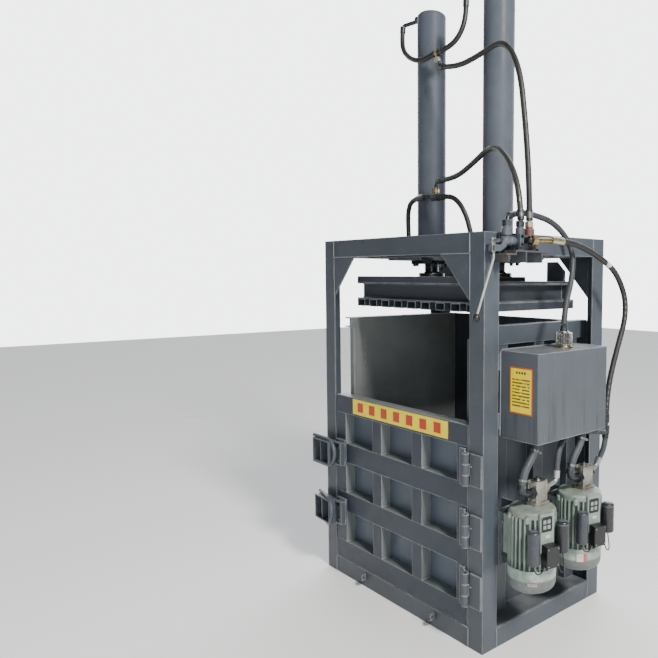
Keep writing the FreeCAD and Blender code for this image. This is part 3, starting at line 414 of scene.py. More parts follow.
def pressureMetal():
    # dark elbow, gold nut and pipe with a brown seam, pale sleeve
    paint = Paint("goldPlate")
    cloud = paint.noise(60, 4, 0.6)
    gold = paint.clouded(cloud, shade((150, 128, 80)), shade((198, 178, 126)), 0.35)
    seam = paint.slab(2, *pressureLine["seam"]) * paint.slab(1, *pressureLine["seamed"])
    gold = paint.mix(seam * 0.8, gold, shade((104, 62, 30)))
    sleeve = paint.clouded(cloud, shade((184, 178, 148)), shade((206, 200, 176)), 0.4, 0.6)
    colour = paint.mix(paint.slab(1, *pressureLine["sleeve"]), gold, sleeve)
    colour = paint.mix(paint.slab(1, *pressureLine["dark"]), colour, shade((58, 58, 58)))
    paint.finish(colour, paint.between(cloud, 0.3, 0.7, 0.26, 0.42), (cloud, 0.0004, 0.2, 0.0007), 0.85)


knurl = {"centre": (0.657, -0.022), "ribs": 26, "band": (1.214, 1.256), "base": (1.19, 1.206), "soft": 0.002}


def knurledChrome():
    paint = Paint("capChrome")
    x, y = (paint.axis(which) - knurl["centre"][which] for which in (0, 1))
    wave = paint.maths("SINE", paint.maths("ARCTAN2", y, x) * knurl["ribs"])
    band = paint.slab(2, *knurl["band"], knurl["soft"])
    base = paint.slab(2, *knurl["base"], knurl["soft"])
    cloud = paint.noise(70, 4, 0.6)
    colour = paint.clouded(cloud, shade((168, 166, 160)), shade((214, 214, 210)), 0.35)
    colour = paint.mix(paint.between(wave, -1.0, -0.3, 1, 0) * band * 0.6, colour, shade((52, 52, 52)))
    colour = paint.mix(base * 0.8, colour, shade((170, 158, 96)))
    paint.finish(colour, paint.between(cloud, 0.3, 0.7, 0.16, 0.34), (wave * band, 0.003, 0.9, 0.001), 1.0)


def darkRod():
    # oiled rods, painted dark as painted shade for the deep shade they stand in, with a long soft shine and a
    # few dull rings
    paint = Paint("shadedRodSteel")
    cloud = paint.noise(26, 4, 0.6)
    rings = paint.noise(60, 3, 0.5, stretch=(0.2, 0.2, 3))
    colour = paint.clouded(cloud, shade((46, 48, 50)), shade((88, 90, 92)))
    colour = paint.mix(paint.between(rings, 0.55, 0.7, 0, 0.5), colour, shade((60, 54, 46)))
    paint.finish(colour, paint.between(cloud + rings, 0.7, 1.2, 0.22, 0.4), (rings, 0.0003, 0.2), 0.9)


# masks: each takes the paint and its patchy noise, and gives where another tone shows
motors = {"x": 0.69, "ys": (-0.241, 0.054), "panelTurn": -13, "panelReach": 0.097, "bell": (0.574, 0.62),
          "lip": (0.37, 0.4), "fins": (0.385, 0.572), "roots": (0.0795, 0.0865)}
litCowlBand = {"heights": (0.338, 0.346), "wave": 0.016}
cans = {"centres": ((0.7747, -0.3288, 0.485), (0.7747, -0.0338, 0.485)), "radius": 0.085,
        "ends": ((0.562, 0.57), (0.5483, 0.552)), "soft": 0.0005}


def marked(slabs=(), blocks=(), steps=(), strength=1.0):
    # a mask from slabs, rows of blocks and steps up, each with its axis first
    def mask(paint, patch=None):
        parts = [paint.slab(*each) for each in slabs] + [paint.blocks(*each) for each in blocks]
        parts += [paint.between(paint.axis(which), low, high) for which, low, high in steps]
        return math.prod(parts, start=strength)
    return mask


def bellStain(paint, patch):
    return paint.slab(2, *motors["bell"], 0.004) * paint.between(patch, 0.48, 0.64, 0.05, 0.4)


def finShadow(paint, patch):
    # painted shade between the fins and just over the fan cowl
    roots = sum(paint.ring((motors["x"], y), *motors["roots"]) for y in motors["ys"])
    return paint.slab(2, *motors["lip"], 0.006) * 0.35 + roots * paint.slab(2, *motors["fins"]) * 0.8


# painted light: the cowl's top band is paler for light from above, and the grey below stands in for shade
def litCowlTop(paint, patch):
    height = paint.axis(2) + paint.noise(6, 2, shift=2) * litCowlBand["wave"]
    return paint.between(height, *litCowlBand["heights"]) * 0.95


def slateCans(paint, patch):
    return sum(paint.ball(centre, cans["radius"]) for centre in cans["centres"])


def canEnds(paint, patch):
    return sum(paint.slab(2, *heights, cans["soft"]) for heights in cans["ends"])


def reliefDust(paint, patch):
    return paint.between(patch, 0.46, 0.6, 0, 0.75)


# pale dashes along a hose, only on the side turned one way: partly a printed line and partly painted
# highlight
def hosePrintAndHighlight(axis, pitch, share, low, high, direction):
    def mask(paint, patch):
        along = (paint.axis(axis) % pitch) < pitch * share
        return along * paint.facing(direction, 0.955, 0.975) * paint.slab(axis, low, high) * 0.75
    return mask


# painted highlight: a pale patch on the hose's side that faces front and right
def hoseHighlightBand(centre, radius):
    def mask(paint, patch):
        return paint.ball(centre, radius) * paint.facing((0.75, -0.66, 0.0), 0.1, 0.3)
    return mask


motorFoot = marked([(0, 0.5, 0.5835)])
# painted light: a near-white patch on the latch where the pocket's back is lit
litPocketBack = marked([(1, -0.4092, -0.4068), (0, -0.579, -0.524)])
# painted shade: the red relief block's lower part is darkened for the shade under it
shadedReliefFoot = marked([(2, 1.57, 1.6035)])
stepBrown = marked([(1, -0.346, -0.29)], strength=0.3)
chamberInside = ((-0.4308, 0.4308), (-0.4, 0.3728))

# the finishes, each under its own name
steelPaint("steelPaint")
# painted light: the cylinder barrels have a paler copy of the frame's paint, standing in for light from the
# front
steelPaint("litBarrelPaint", (84, 90, 99), 0.05, 0.3, shine=0.12)
steelPaint("tankPaint", (80, 86, 93), 0.0, 1.0, smudge=0.6, edgeWearAndHighlight=0.6)
steelPaint("chamberPaint", (122, 126, 124), 0.22, 0.8, within=chamberInside)
# painted shade: the back wall's inside is darkened for the shade deep in the chamber
steelPaint("shadedChamberBackPaint", (56, 62, 70), 0.1, 0.5, within=chamberInside)
# painted shade: the platen has a darker copy of the frame's paint, for the shade under the top beam
steelPaint("shadedPlatenPaint", (54, 60, 67), 0.05, 0.6)
# painted highlight: the weld beads have a paler copy of the frame's paint, so they show as bright lines
steelPaint("weldSeamHighlight", (108, 113, 118), 0.0, 0.9)
# painted light and shade: the door's rails and skin are one paint, the rails darkened as painted shade and
# the skin lightened as painted light for its shadowed cells
steelPaint("shadedDoorRailPaint", (50, 58, 70), 0.05, 0.6, inner=(112, 118, 118), edgeWearAndHighlight=0.7)
steelPaint("litDoorSkinPaint", (84, 94, 107), 0.05, 0.5)
steelPaint("hingePaint", (74, 80, 87), 0.0, 0.9, edgeWearAndHighlight=0.75)
castPaint("latchPaint", (76, 83, 92), 0.4, (104, 108, 108), 0.3, 0.0006, [(litPocketBack, (225, 228, 228))])
metal("brightSteel", (176, 178, 178), 0.38, spots=0.4)
castPaint("leverZinc", (182, 185, 178), 0.34, (140, 138, 124), 0.3, 0.0003)
metal("boltZinc", (170, 170, 162), 0.34, spots=0.35, spotTone=(120, 112, 78))
metal("blackBolt", (62, 64, 66), 0.42)
darkRod()
fittingMetal()
teeMetal("upperTeeMetal", [
    ((-0.084, -0.06, 2.519), 0.017, (178, 150, 84)), ((-0.082, -0.06, 2.487), 0.018, (176, 178, 168))])
teeMetal("lowerTeeMetal", [
    ((-0.094, -0.06, 1.885), 0.017, (176, 150, 88)), ((-0.094, -0.06, 1.853), 0.014, (120, 118, 104))])
knurledChrome()
castPaint("motorGreen", (138, 154, 145), 0.42, (112, 110, 98), 0.2, patches=[
    (bellStain, (112, 96, 82)), (finShadow, (66, 80, 76)), (motorFoot, (92, 98, 104))])
castPaint("cowlGrey", (104, 110, 108), 0.5, (140, 142, 134), 0.35, patches=[(litCowlTop, (158, 174, 164))])
metal("pumpAluminium", (186, 182, 172), 0.48, 0.8, spots=0.5, spotTone=(126, 108, 88))
rubber("blackPlastic", (26, 27, 29), 0.34)
rubber("canPlastic", (40, 42, 45), 0.28, scuffTone=(52, 55, 58),
       patches=[(slateCans, (54, 59, 64)), (canEnds, (84, 90, 96))])
rubber("hoseRubber", (40, 40, 40), 0.44)
rubber("riserRubber", (46, 46, 45), 0.44, patches=[
    (hosePrintAndHighlight(2, 0.03, 0.55, 1.76, 2.02, (0.72, -0.69, 0.05)), (150, 150, 142))])
rubber("returnRubber", (56, 60, 64), 0.5)
rubber("pressureRubber", (38, 38, 37), 0.5, patches=[
    (hosePrintAndHighlight(2, 0.024, 0.5, 0.92, 1.6, (0.7, -0.71, 0.0)), (104, 104, 96)),
    (hosePrintAndHighlight(1, 0.012, 0.55, -0.02, 0.075, (0.3, 0.0, 0.95)), (196, 194, 184)),
    (hoseHighlightBand((0.687, 0.236, 1.54), 0.02), (206, 202, 190))])
rubber("suctionRubber", (70, 76, 79), 0.5, scuffTone=(96, 100, 100))
rubber("pumpRubber", (66, 72, 76), 0.5, scuffTone=(92, 96, 96))
rubber("wireBlack", (20, 20, 21), 0.4)
castPaint("reliefRed", (112, 60, 62), 0.5, (84, 54, 54), 0.5, patches=[
    (shadedReliefFoot, (58, 58, 58)), (reliefDust, (118, 92, 92))])
castPaint("valveCast", (84, 90, 98), 0.36, (60, 62, 64), 0.5)
castPaint("bracketPaint", (80, 84, 90), 0.42, (62, 58, 54), 0.4, patches=[(stepBrown, (98, 80, 66))])
pressureMetal()

# printed plates: fields of colour with plain blocks and dashes
signBlocks = marked([(2, 0.837, 0.882)], [(0, -0.29, 0.0925, 0.045, 7)])
labelInside = marked([(0, 0.614, 0.719), (2, 0.9655, 1.1335)])
labelHeading = marked([(2, 1.113, 1.123)], [(0, 0.6405, 0.0135, 0.0095, 4)])
labelRows = marked([(0, 0.6215, 0.7105)], [(2, 0.9885, 0.0125, 0.0062, 9)])
plateCells = marked(blocks=[(1, -0.0165, 0.0195, 0.0135, 2), (2, -0.0185, 0.0205, 0.0145, 2)])
cowlMark = marked(blocks=[(2, 0.3265, 0.02, 0.0095, 1)], steps=[(1, -0.3195, -0.319)])
labelCorner = marked(steps=[(1, -0.0085, -0.008)])


def labelBorder(paint):
    return 1 - labelInside(paint)


def labelDashes(paint):
    broken = paint.noise(60, 1, 0.5, stretch=(1, 1, 1.4), shift=2)
    return labelRows(paint) * paint.between(broken, 0.36, 0.38)


def printedPaint(name, tone, marks, rough=0.35, metallic=0.0, centre=None, turn=0.0):
    # marks is a list of (mask function, tone, strength)
    paint = Paint(name)
    if centre:
        paint.local(centre, turn)
    cloud = paint.noise(18, 4, 0.6)
    scuff = paint.noise(120, 4, 0.6, shift=6)
    colour = paint.clouded(cloud, shade(tone, 0.93), shade(tone))
    for mask, markTone, strength in marks:
        colour = paint.mix(mask(paint) * strength, colour, shade(markTone))
    colour = paint.mix(paint.between(scuff, 0.64, 0.74, 0, 0.35), colour, shade(tone, 0.7))
    dull = paint.between(cloud, 0.3, 0.7, rough - 0.07, rough + 0.1)
    paint.finish(colour, dull, (cloud, 0.0008, 0.25, 0.0004), metallic)


ink = (38, 32, 20)
printedPaint("signYellow", (255, 232, 0), [(signBlocks, (190, 20, 4), 0.97)])
printedPaint("labelYellow", (255, 224, 0), [
    (labelBorder, (176, 62, 22), 0.95), (labelHeading, ink, 0.95), (labelDashes, ink, 0.9)])
printedPaint("paleTag", (186, 194, 186), [])
printedPaint("cowlLabelFront", (158, 162, 156), [(cowlMark, (140, 84, 78), 0.5)])
printedPaint("cowlLabelRear", (214, 212, 206), [(labelCorner, (178, 54, 50), 0.9)])
metal("brassBolt", (176, 140, 82), 0.36, spots=0.3, spotTone=(110, 80, 50))

# the nodes of each coat; those that no coat names have steelPaint
coats = {
    "latchPaint": ["latch_upper", "latch_lower"],
    "shadedDoorRailPaint": ["door_grid"],
    "litDoorSkinPaint": ["door_panel"],
    "hingePaint": ["post_hinge_knuckles", "door_hinge_knuckles"],
    "chamberPaint": ["left_wall", "chamber_floor"],
    "shadedChamberBackPaint": ["back_wall"],
    "litBarrelPaint": ["cylinder_left", "cylinder_right"],
    "tankPaint": ["oil_tank"],
    "shadedPlatenPaint": ["platen_frame", "platen_plate", "platen_bars", "platen_guides"],
    "brightSteel": ["hinge_pins", "valve_spool"],
    "leverZinc": ["valve_lever"],
    "blackBolt": ["flange_bolts"],
    "fittingSteel": ["hose_fittings", "pump_tee"],
    "upperTeeMetal": ["upper_tee"],
    "lowerTeeMetal": ["lower_tee"],
    "shadedRodSteel": ["piston_rods"],
    "capChrome": ["filler_cap"],
    "motorGreen": ["motor_front", "motor_rear"],
    "cowlGrey": ["fan_cowls"],
    "pumpAluminium": ["gear_pumps", "rotor_front", "rotor_rear"],
    "blackPlastic": ["terminal_boxes", "lever_knob"],
    "canPlastic": ["capacitors"],
    "reliefRed": ["relief_block"],
    "valveCast": ["valve_body"],
    "bracketPaint": ["valve_bracket"],
    "goldPlate": ["pressure_fitting"],
}
hoseCoats = {"front_suction": "suctionRubber", "rear_suction": "suctionRubber", "front_pump": "pumpRubber",
             "rear_pump": "pumpRubber", "lower_riser": "riserRubber", "return": "returnRubber",
             "pressure": "pressureRubber"}


def coatNodes():
    coatOf = {name: finish for finish, names in coats.items() for name in names}
    for name, node in nodes.items():
        for place in node.material_slots:
            place.material = finishes[coatOf.get(name, "steelPaint")]


coatNodes()
for name, piece in laid.items():
    piece.data.materials.append(finishes[hoseCoats.get(name, "hoseRubber")])
print("finishes made:", len(finishes))


# making pieces
weldGap = 0.000005


def meshed(name, shape, finish):
    mesh = bpy.data.meshes.new(name)
    shape.to_mesh(mesh)
    shape.free()
    mesh.materials.append(finishes[finish])
    return mesh


def newPiece(name, shape, finish, body="frame", sharp=35):
    bmesh.ops.remove_doubles(shape, verts=shape.verts, dist=weldGap)
    bmesh.ops.recalc_face_normals(shape, faces=shape.faces)
    mesh = meshed(name, shape, finish)
    mesh.shade_smooth()
    mesh.set_sharp_from_angle(angle=math.radians(sharp))
    piece = put(name, mesh)
    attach(piece, body)


def aimed(place, facing):
    # a matrix that sets Z along "facing" at a place
    return Matrix.Translation(place) @ Vector(facing).to_track_quat("Z", "Y").to_matrix().to_4x4()


def around(centre, reach, turn):
    # a place at a turn in degrees round an upright line
    turn = math.radians(turn)
    return centre[0] + reach * math.cos(turn), centre[1] + reach * math.sin(turn), centre[2]


def edgesOf(verts):
    return {edge for vert in verts for edge in vert.link_edges}


def rounding(shape, edges, offset, segments):
    bmesh.ops.bevel(
        shape, geom=edges, offset=offset, segments=segments, profile=0.5, affect="EDGES", material=-1)


def spun(shape, verts, edges, placed, steps):
    # verts and edges carried once round the matrix's Z
    bmesh.ops.spin(shape, geom=verts + edges, cent=placed.translation, axis=placed.to_3x3().col[2],
                   angle=math.tau, steps=steps, use_merge=True)


def addPlate(shape, placed, size, corner=0.0):
    # a thin plate whose front looks along the matrix's Z, with rounded corners
    made = bmesh.ops.create_cube(shape, size=1.0, matrix=placed @ Matrix.Diagonal((*size, 1)))["verts"]
    axis = placed.to_3x3().col[2]
    if corner:
        tall = [edge for edge in edgesOf(made)
                if abs((edge.verts[0].co - edge.verts[1].co).normalized().dot(axis)) > 0.9]
        rounding(shape, tall, corner, 4)


def addWrap(shape, centre, radius, thick, turns, low, high):
    # a thin sheet wrapped round an upright cylinder, between two turns in degrees
    first = Matrix.Translation(centre) @ Matrix.Rotation(math.radians(turns[0]), 4, "Z")
    corners = [(radius, low), (radius + thick, low), (radius + thick, high), (radius, high)]
    verts = [shape.verts.new(first @ Vector((reach, 0, height))) for reach, height in corners]
    side = shape.faces.new(verts)
    bmesh.ops.spin(shape, geom=verts + list(side.edges) + [side], cent=centre, axis=up,
                   angle=math.radians(turns[1] - turns[0]), steps=8)


def addRing(shape, placed, reach, thick, steps=28):
    # a round ring about the matrix's Z
    section = placed @ Matrix.Translation((reach, 0, 0)) @ Matrix.Rotation(math.pi / 2, 4, "X")
    made = bmesh.ops.create_circle(shape, cap_ends=False, segments=10, radius=thick, matrix=section)["verts"]
    spun(shape, made, list(edgesOf(made)), placed, steps)


def addTurned(shape, placed, outline, steps):
    # a closed form spun about the matrix's Z from a list of (radius, height)
    verts = [shape.verts.new(placed @ Vector((radius, 0, height))) for radius, height in outline]
    spun(shape, verts, [shape.edges.new(pair) for pair in zip(verts, verts[1:])], placed, steps)


def addHex(shape, placed, across, tall, chamfer=0.12):
    radius = across / math.sqrt(3)
    made = bmesh.ops.create_cone(shape, cap_ends=True, segments=6, radius1=radius, radius2=radius, depth=tall,
                                 matrix=placed @ Matrix.Translation((0, 0, tall / 2)))["verts"]
    axis = placed.to_3x3().col[2].normalized()
    top = [edge for edge in edgesOf(made)
           if all((vert.co - placed.translation).dot(axis) > tall * 0.9 for vert in edge.verts)]
    rounding(shape, top, tall * chamfer, 2)


def addBolt(shape, place, facing, across, tall):
    # washer, hexagon head and a short thread end, in shares of the width across flats
    placed = aimed(place, facing)
    washer, thick, tip = across * 0.72, across * 0.12, across * 0.27
    shoulder, end = tall + across * 0.16, tall + across * 0.22
    disc = [(0, 0), (washer, 0), (washer, thick * 0.7), (washer * 0.94, thick), (0, thick)]
    addTurned(shape, placed, disc, 20)
    addHex(shape, placed @ Matrix.Translation((0, 0, thick)), across, tall)
    addTurned(shape, placed, [(0, tall), (tip, tall), (tip, shoulder), (tip * 0.8, end), (0, end)], 12)


# a bead's ripples: two to a pitch, and shares of its radius
ripples = {"pitch": 0.0055, "sides": 7, "end": 0.5, "dip": 0.22, "sway": 0.06, "swayTurn": 2.3}


def addBead(shape, start, end, radius):
    # a rippled weld bead, drawn out ring by ring
    start, end = Vector(start), Vector(end)
    count = max(3, round((end - start).length / ripples["pitch"] * 2))
    reach = radius * ripples["end"]
    made = bmesh.ops.create_circle(shape, cap_ends=False, segments=ripples["sides"], radius=reach,
                                   matrix=aimed(start, (end - start).normalized()))["verts"]
    ring = list(edgesOf(made))
    bmesh.ops.contextual_create(shape, geom=ring)
    for index in range(1, count + 1):
        drawn = bmesh.ops.extrude_edge_only(shape, edges=ring)["geom"]
        verts = [part for part in drawn if isinstance(part, bmesh.types.BMVert)]
        ring = [part for part in drawn if isinstance(part, bmesh.types.BMEdge)]
        share = 1.0 - ripples["dip"] * (index % 2) + ripples["sway"] * math.sin(index * ripples["swayTurn"])
        following = radius * (ripples["end"] if index == count else share)
        middle = start + (end - start) * (index / count)
        before = start + (end - start) * ((index - 1) / count)
        for vert in verts:
            vert.co = middle + (vert.co - before) * (following / reach)
        reach = following
    bmesh.ops.contextual_create(shape, geom=ring)


# signs and plates
hung = {"door_sign": {"place": (0.0125, -0.3784, 0.859), "size": (0.683, 0.072, 0.0008), "corner": 0.0015,
                      "finish": "signYellow", "body": "door"},
        "tank_label": {"place": (0.6665, -0.2873, 1.0495), "size": (0.116, 0.179, 0.0006), "corner": 0.002,
                       "finish": "labelYellow", "body": "frame"}}
plates = {"tone": (34, 36, 38), "cell": (150, 160, 154), "along": -0.003, "height": 0.56, "lift": 0.0005,
          "size": (0.05, 0.058, 0.001), "corner": 0.003,
          "rivetAcross": (-0.025, 0.019), "rivetHeights": (0.534, 0.586), "rivetLift": 0.001,
          "rivet": [(0, 0), (0.0017, 0), (0.0013, 0.0009), (0, 0.0012)]}
tag = {"along": 0.002, "height": 0.512, "lift": 0.0003, "size": (0.022, 0.012, 0.0005), "corner": 0.002}
motorNames = ("front", "rear")


def hangSigns():
    for name, facts in hung.items():
        shape = bmesh.new()
        addPlate(shape, aimed(facts["place"], front), facts["size"], facts["corner"])
        newPiece(name, shape, facts["finish"], facts["body"])


def onPanel(y, along, height, out):
    # a place on a motor's flat panel, with Z the way it faces
    turn = math.radians(motors["panelTurn"])
    facing = Vector((math.cos(turn), math.sin(turn), 0))
    side = Vector((-math.sin(turn), math.cos(turn), 0))
    middle = Vector((motors["x"], y, height))
    return aimed(middle + facing * (motors["panelReach"] + out) + side * along, facing)


def fixNameplates():
    tags = bmesh.new()
    rivets = bmesh.new()
    for number, (motor, y) in enumerate(zip(motorNames, motors["ys"])):
        finish = "nameplate%d" % number
        placed = onPanel(y, plates["along"], plates["height"], plates["lift"])
        printedPaint(finish, plates["tone"], [(plateCells, plates["cell"], 0.85)], 0.3, 0.4,
                     placed.translation, motors["panelTurn"])
        shape = bmesh.new()
        addPlate(shape, placed, plates["size"], plates["corner"])
        newPiece("nameplate_" + motor, shape, finish)
        for across in plates["rivetAcross"]:
            for height in plates["rivetHeights"]:
                addTurned(rivets, onPanel(y, across, height, plates["rivetLift"]), plates["rivet"], 10)
        addPlate(tags, onPanel(y, tag["along"], tag["height"], tag["lift"]), tag["size"], tag["corner"])
    newPiece("plate_rivets", rivets, "boltZinc")
    newPiece("panel_tags", tags, "paleTag")


hangSigns()
fixNameplates()
print("signs and plates hung")


# bolts and screws on the motors
bolting = {"footX": 0.58, "footWide": 0.0525, "footHeights": (0.381, 0.523), "footHead": (0.0095, 0.006),
           "lugReach": 0.088, "lugTurns": (-62, -118, 118, 62), "lugTop": 0.585, "lugHead": (0.009, 0.005),
           "pumpShift": 0.029, "pumpCorner": (0.019, 0.026), "pumpTop": 0.693, "pumpCapTop": 0.697,
           "boxAcross": 0.0225, "boxHeights": (0.414, 0.478), "boxOut": 0.04, "glandHeight": 0.4065,
           "glandOut": 0.018}
outlines = {
    "pumpScrew": [(0, 0), (0.0052, 0), (0.0052, 0.0058), (0.0046, 0.0064), (0.0026, 0.0064), (0.0026, 0.0035),
                  (0, 0.0035)],
    "pumpCap": [(0, 0), (0.015, 0), (0.015, 0.003), (0.0138, 0.0045), (0.006, 0.005), (0.005, 0.0065),
                (0, 0.0065)],
    "boxScrew": [(0, 0), (0.0032, 0), (0.0028, 0.0014), (0.0014, 0.0018), (0.0012, 0.001), (0, 0.001)],
    "gland": [(0, 0), (0.011, 0), (0.011, 0.006), (0.009, 0.008), (0.009, 0.012), (0.0065, 0.014),
              (0, 0.014)]}


def boltMotors():
    bright = bmesh.new()
    black = bmesh.new()
    halfX, halfY = bolting["pumpCorner"]
    for y in motors["ys"]:
        for side in (-1, 1):
            for height in bolting["footHeights"]:
                at = (bolting["footX"], y + side * bolting["footWide"], height)
                addHex(bright, aimed(at, right), *bolting["footHead"])
        for turn in bolting["lugTurns"]:
            at = around((motors["x"], y, bolting["lugTop"]), bolting["lugReach"], turn)
            addBolt(bright, at, up, *bolting["lugHead"])
        pumpY = y + bolting["pumpShift"]
        for signX in (-1, 1):
            for signY in (-1, 1):
                at = (motors["x"] + signX * halfX, pumpY + signY * halfY, bolting["pumpTop"])
                addTurned(bright, aimed(at, up), outlines["pumpScrew"], 14)
        addTurned(bright, aimed((motors["x"], pumpY, bolting["pumpCapTop"]), up), outlines["pumpCap"], 24)
        for side in (-1, 1):
            for height in bolting["boxHeights"]:
                placed = onPanel(y, side * bolting["boxAcross"], height, bolting["boxOut"])
                addTurned(black, placed, outlines["boxScrew"], 12)
        at = onPanel(y, 0.0, bolting["glandHeight"], bolting["glandOut"]).translation
        addTurned(black, aimed(at, down), outlines["gland"], 16)
    newPiece("motor_bolts", bright, "boltZinc")
    newPiece("box_screws", black, "boltZinc")


# the valve's bolts and nuts: place, way it faces, width across flats, height; and the tank lid's screws
valveBolts = {
    "bright": [((0.632, -0.251, 1.603), right, 0.0095, 0.005), ((0.632, -0.251, 1.634), right, 0.0095, 0.005),
               ((0.588, -0.274, 1.581), up, 0.011, 0.006), ((0.612, -0.274, 1.581), up, 0.011, 0.006),
               ((0.634, -0.166, 1.581), up, 0.011, 0.006)],
    "brass": [((0.604, -0.312, 1.568), up, 0.013, 0.008), ((0.628, -0.18, 1.618), right, 0.014, 0.007)],
    "nuts": [((0.6, -0.312, 1.562), down, 0.013, 0.007), ((0.6, -0.2, 1.575), down, 0.013, 0.007)]}
lid = {"centre": (0.657, -0.022, 1.203), "reach": 0.0345, "turns": (45, 135, 225, 315),
       "screw": [(0, 0), (0.003, 0), (0.0026, 0.0014), (0, 0.0018)]}


def boltValve():
    bright = bmesh.new()
    brass = bmesh.new()
    for shape, kind in ((bright, "bright"), (brass, "brass")):
        for bolt in valveBolts[kind]:
            addBolt(shape, *bolt)
    for place, facing, across, tall in valveBolts["nuts"]:
        addHex(bright, aimed(place, facing), across, tall)
    for turn in lid["turns"]:
        addTurned(bright, aimed(around(lid["centre"], lid["reach"], turn), up), lid["screw"], 12)
    newPiece("valve_bolts", bright, "blackBolt")
    newPiece("valve_brass", brass, "brassBolt")


boltMotors()
boltValve()
print("bolts set")


# weld beads on the frame and on the door: start, end, radius
def upright(x, y, start, end, radius):
    return (x, y, start), (x, y, end), radius


def level(y, z, start, end, radius):
    return (start, y, z), (end, y, z), radius


hingeSpans = {"post": ((0.177, 0.313), (0.416, 0.55), (0.665, 0.794)),
              "door": ((0.171, 0.325), (0.41, 0.562), (0.659, 0.806))}
cells = {"columns": ((-0.393, -0.171), (-0.103, 0.119), (0.187, 0.409)),
         "rows": ((0.175, 0.328), (0.421, 0.572), (0.667, 0.814)), "y": -0.3312, "inset": 0.0012}
latchHeights = (0.618, 0.325)
frameWelds = []
for side in (-1, 1):
    frameWelds += [
        upright(side * 0.48, -0.3815, 0.006, 0.074, 0.0028),
        upright(side * 0.48, -0.3815, 1.574, 1.646, 0.0028),
        level(-0.3795, 0.08, side * 0.478, side * 0.44, 0.003),
        upright(side * 0.48, -0.3795, 1.568, 1.392, 0.0024),
        level(-0.3795, 1.5695, side * 0.476, side * 0.314, 0.0024),
        upright(0.561, side * 0.3, 0.006, 0.074, 0.0026),
        upright(0.561, side * 0.3, 1.574, 1.646, 0.0026)]
for low, high in hingeSpans["post"]:
    middle = (low + high) / 2
    frameWelds += [
        upright(0.5565, -0.3835, low + 0.004, high - 0.004, 0.0036),
        upright(0.502, -0.3885, middle + 0.01, middle + 0.016, 0.0045)]
frameWelds += [upright(-0.4297, -0.235, 0.93 + 0.038 * row, 0.944 + 0.038 * row, 0.0022) for row in range(8)]
frameWelds += [upright(0.5612, y, 1.58, 1.54, 0.0026) for y in (-0.289, -0.14)]
frameWelds += [
    upright(0.5612, -0.345, 1.565, 1.538, 0.0026),
    ((0.5595, -0.284, 1.1985), (0.5595, 0.144, 1.1985), 0.0028),
    upright(0.5595, -0.2885, 0.86, 1.193, 0.0028)]

doorWelds = []
y, inset = cells["y"], cells["inset"]
for west, east in cells["columns"]:
    for low, high in cells["rows"]:
        middle = (low + high) / 2
        doorWelds += [
            upright(west + inset, y, middle - 0.005, middle + 0.007, 0.0034),
            level(y, low + inset, west + 0.14, west + 0.154, 0.0034),
            upright(east - inset, y, low + 0.03, low + 0.044, 0.0034)]
doorWelds += [upright(0.4315, -0.3795, low + 0.004, high - 0.004, 0.003) for low, high in hingeSpans["door"]]
for height in latchHeights:
    doorWelds += [
        upright(-0.3836, -0.3905, height - 0.054, height - 0.036, 0.003),
        upright(-0.3836, -0.3905, height + 0.036, height + 0.054, 0.003),
        level(-0.38, height + 0.0625, -0.461, -0.394, 0.0026)]


def weldAll():
    for body, beads in (("frame", frameWelds), ("door", doorWelds)):
        shape = bmesh.new()
        for bead in beads:
            addBead(shape, *bead)
        newPiece(body + "_welds", shape, "weldSeamHighlight", body, 60)


weldAll()
print("welds laid:", len(frameWelds) + len(doorWelds))


# thin floor plates on the right side of the base, under the motors and between the wall's ribs
floorPlates = {"height": 0.0818, "thick": 0.003, "spans": [
    ((0.4768, 0.556), (-0.3, 0.3)), ((0.4368, 0.4768), (-0.3, -0.2208)),
    ((0.4368, 0.4768), (-0.1592, 0.0092)), ((0.4368, 0.4768), (0.0708, 0.2392))]}


def layPlates():
    shape = bmesh.new()
    for (x0, x1), (y0, y1) in floorPlates["spans"]:
        middle = ((x0 + x1) / 2, (y0 + y1) / 2, floorPlates["height"])
        addPlate(shape, Matrix.Translation(middle), (x1 - x0, y1 - y0, floorPlates["thick"]))
    newPiece("side_plates", shape, "steelPaint")


# folded guards welded on the door over the latch pins' ears
guards = {"x": (-0.434, -0.384), "y": (-0.4165, -0.3895), "reach": 0.0555, "thick": 0.005}


def foldGuards():
    shape = bmesh.new()
    (x0, x1), (y0, y1), reach, thick = guards["x"], guards["y"], guards["reach"], guards["thick"]
    inner = reach - thick
    folds = [(x0, inner), (x1 - thick, inner), (x1 - thick, -inner), (x0, -inner), (x0, -reach), (x1, -reach),
             (x1, reach), (x0, reach)]
    for height in latchHeights:
        near, far = ([shape.verts.new((x, y, height + z)) for x, z in folds] for y in (y0, y1))
        shape.faces.new(near)
        shape.faces.new(far[::-1])
        for index in range(len(folds)):
            following = (index + 1) % len(folds)
            shape.faces.new((near[following], near[index], far[index], far[following]))
    newPiece("latch_guards", shape, "steelPaint", "door")


layPlates()
foldGuards()
print("plates and guards set")


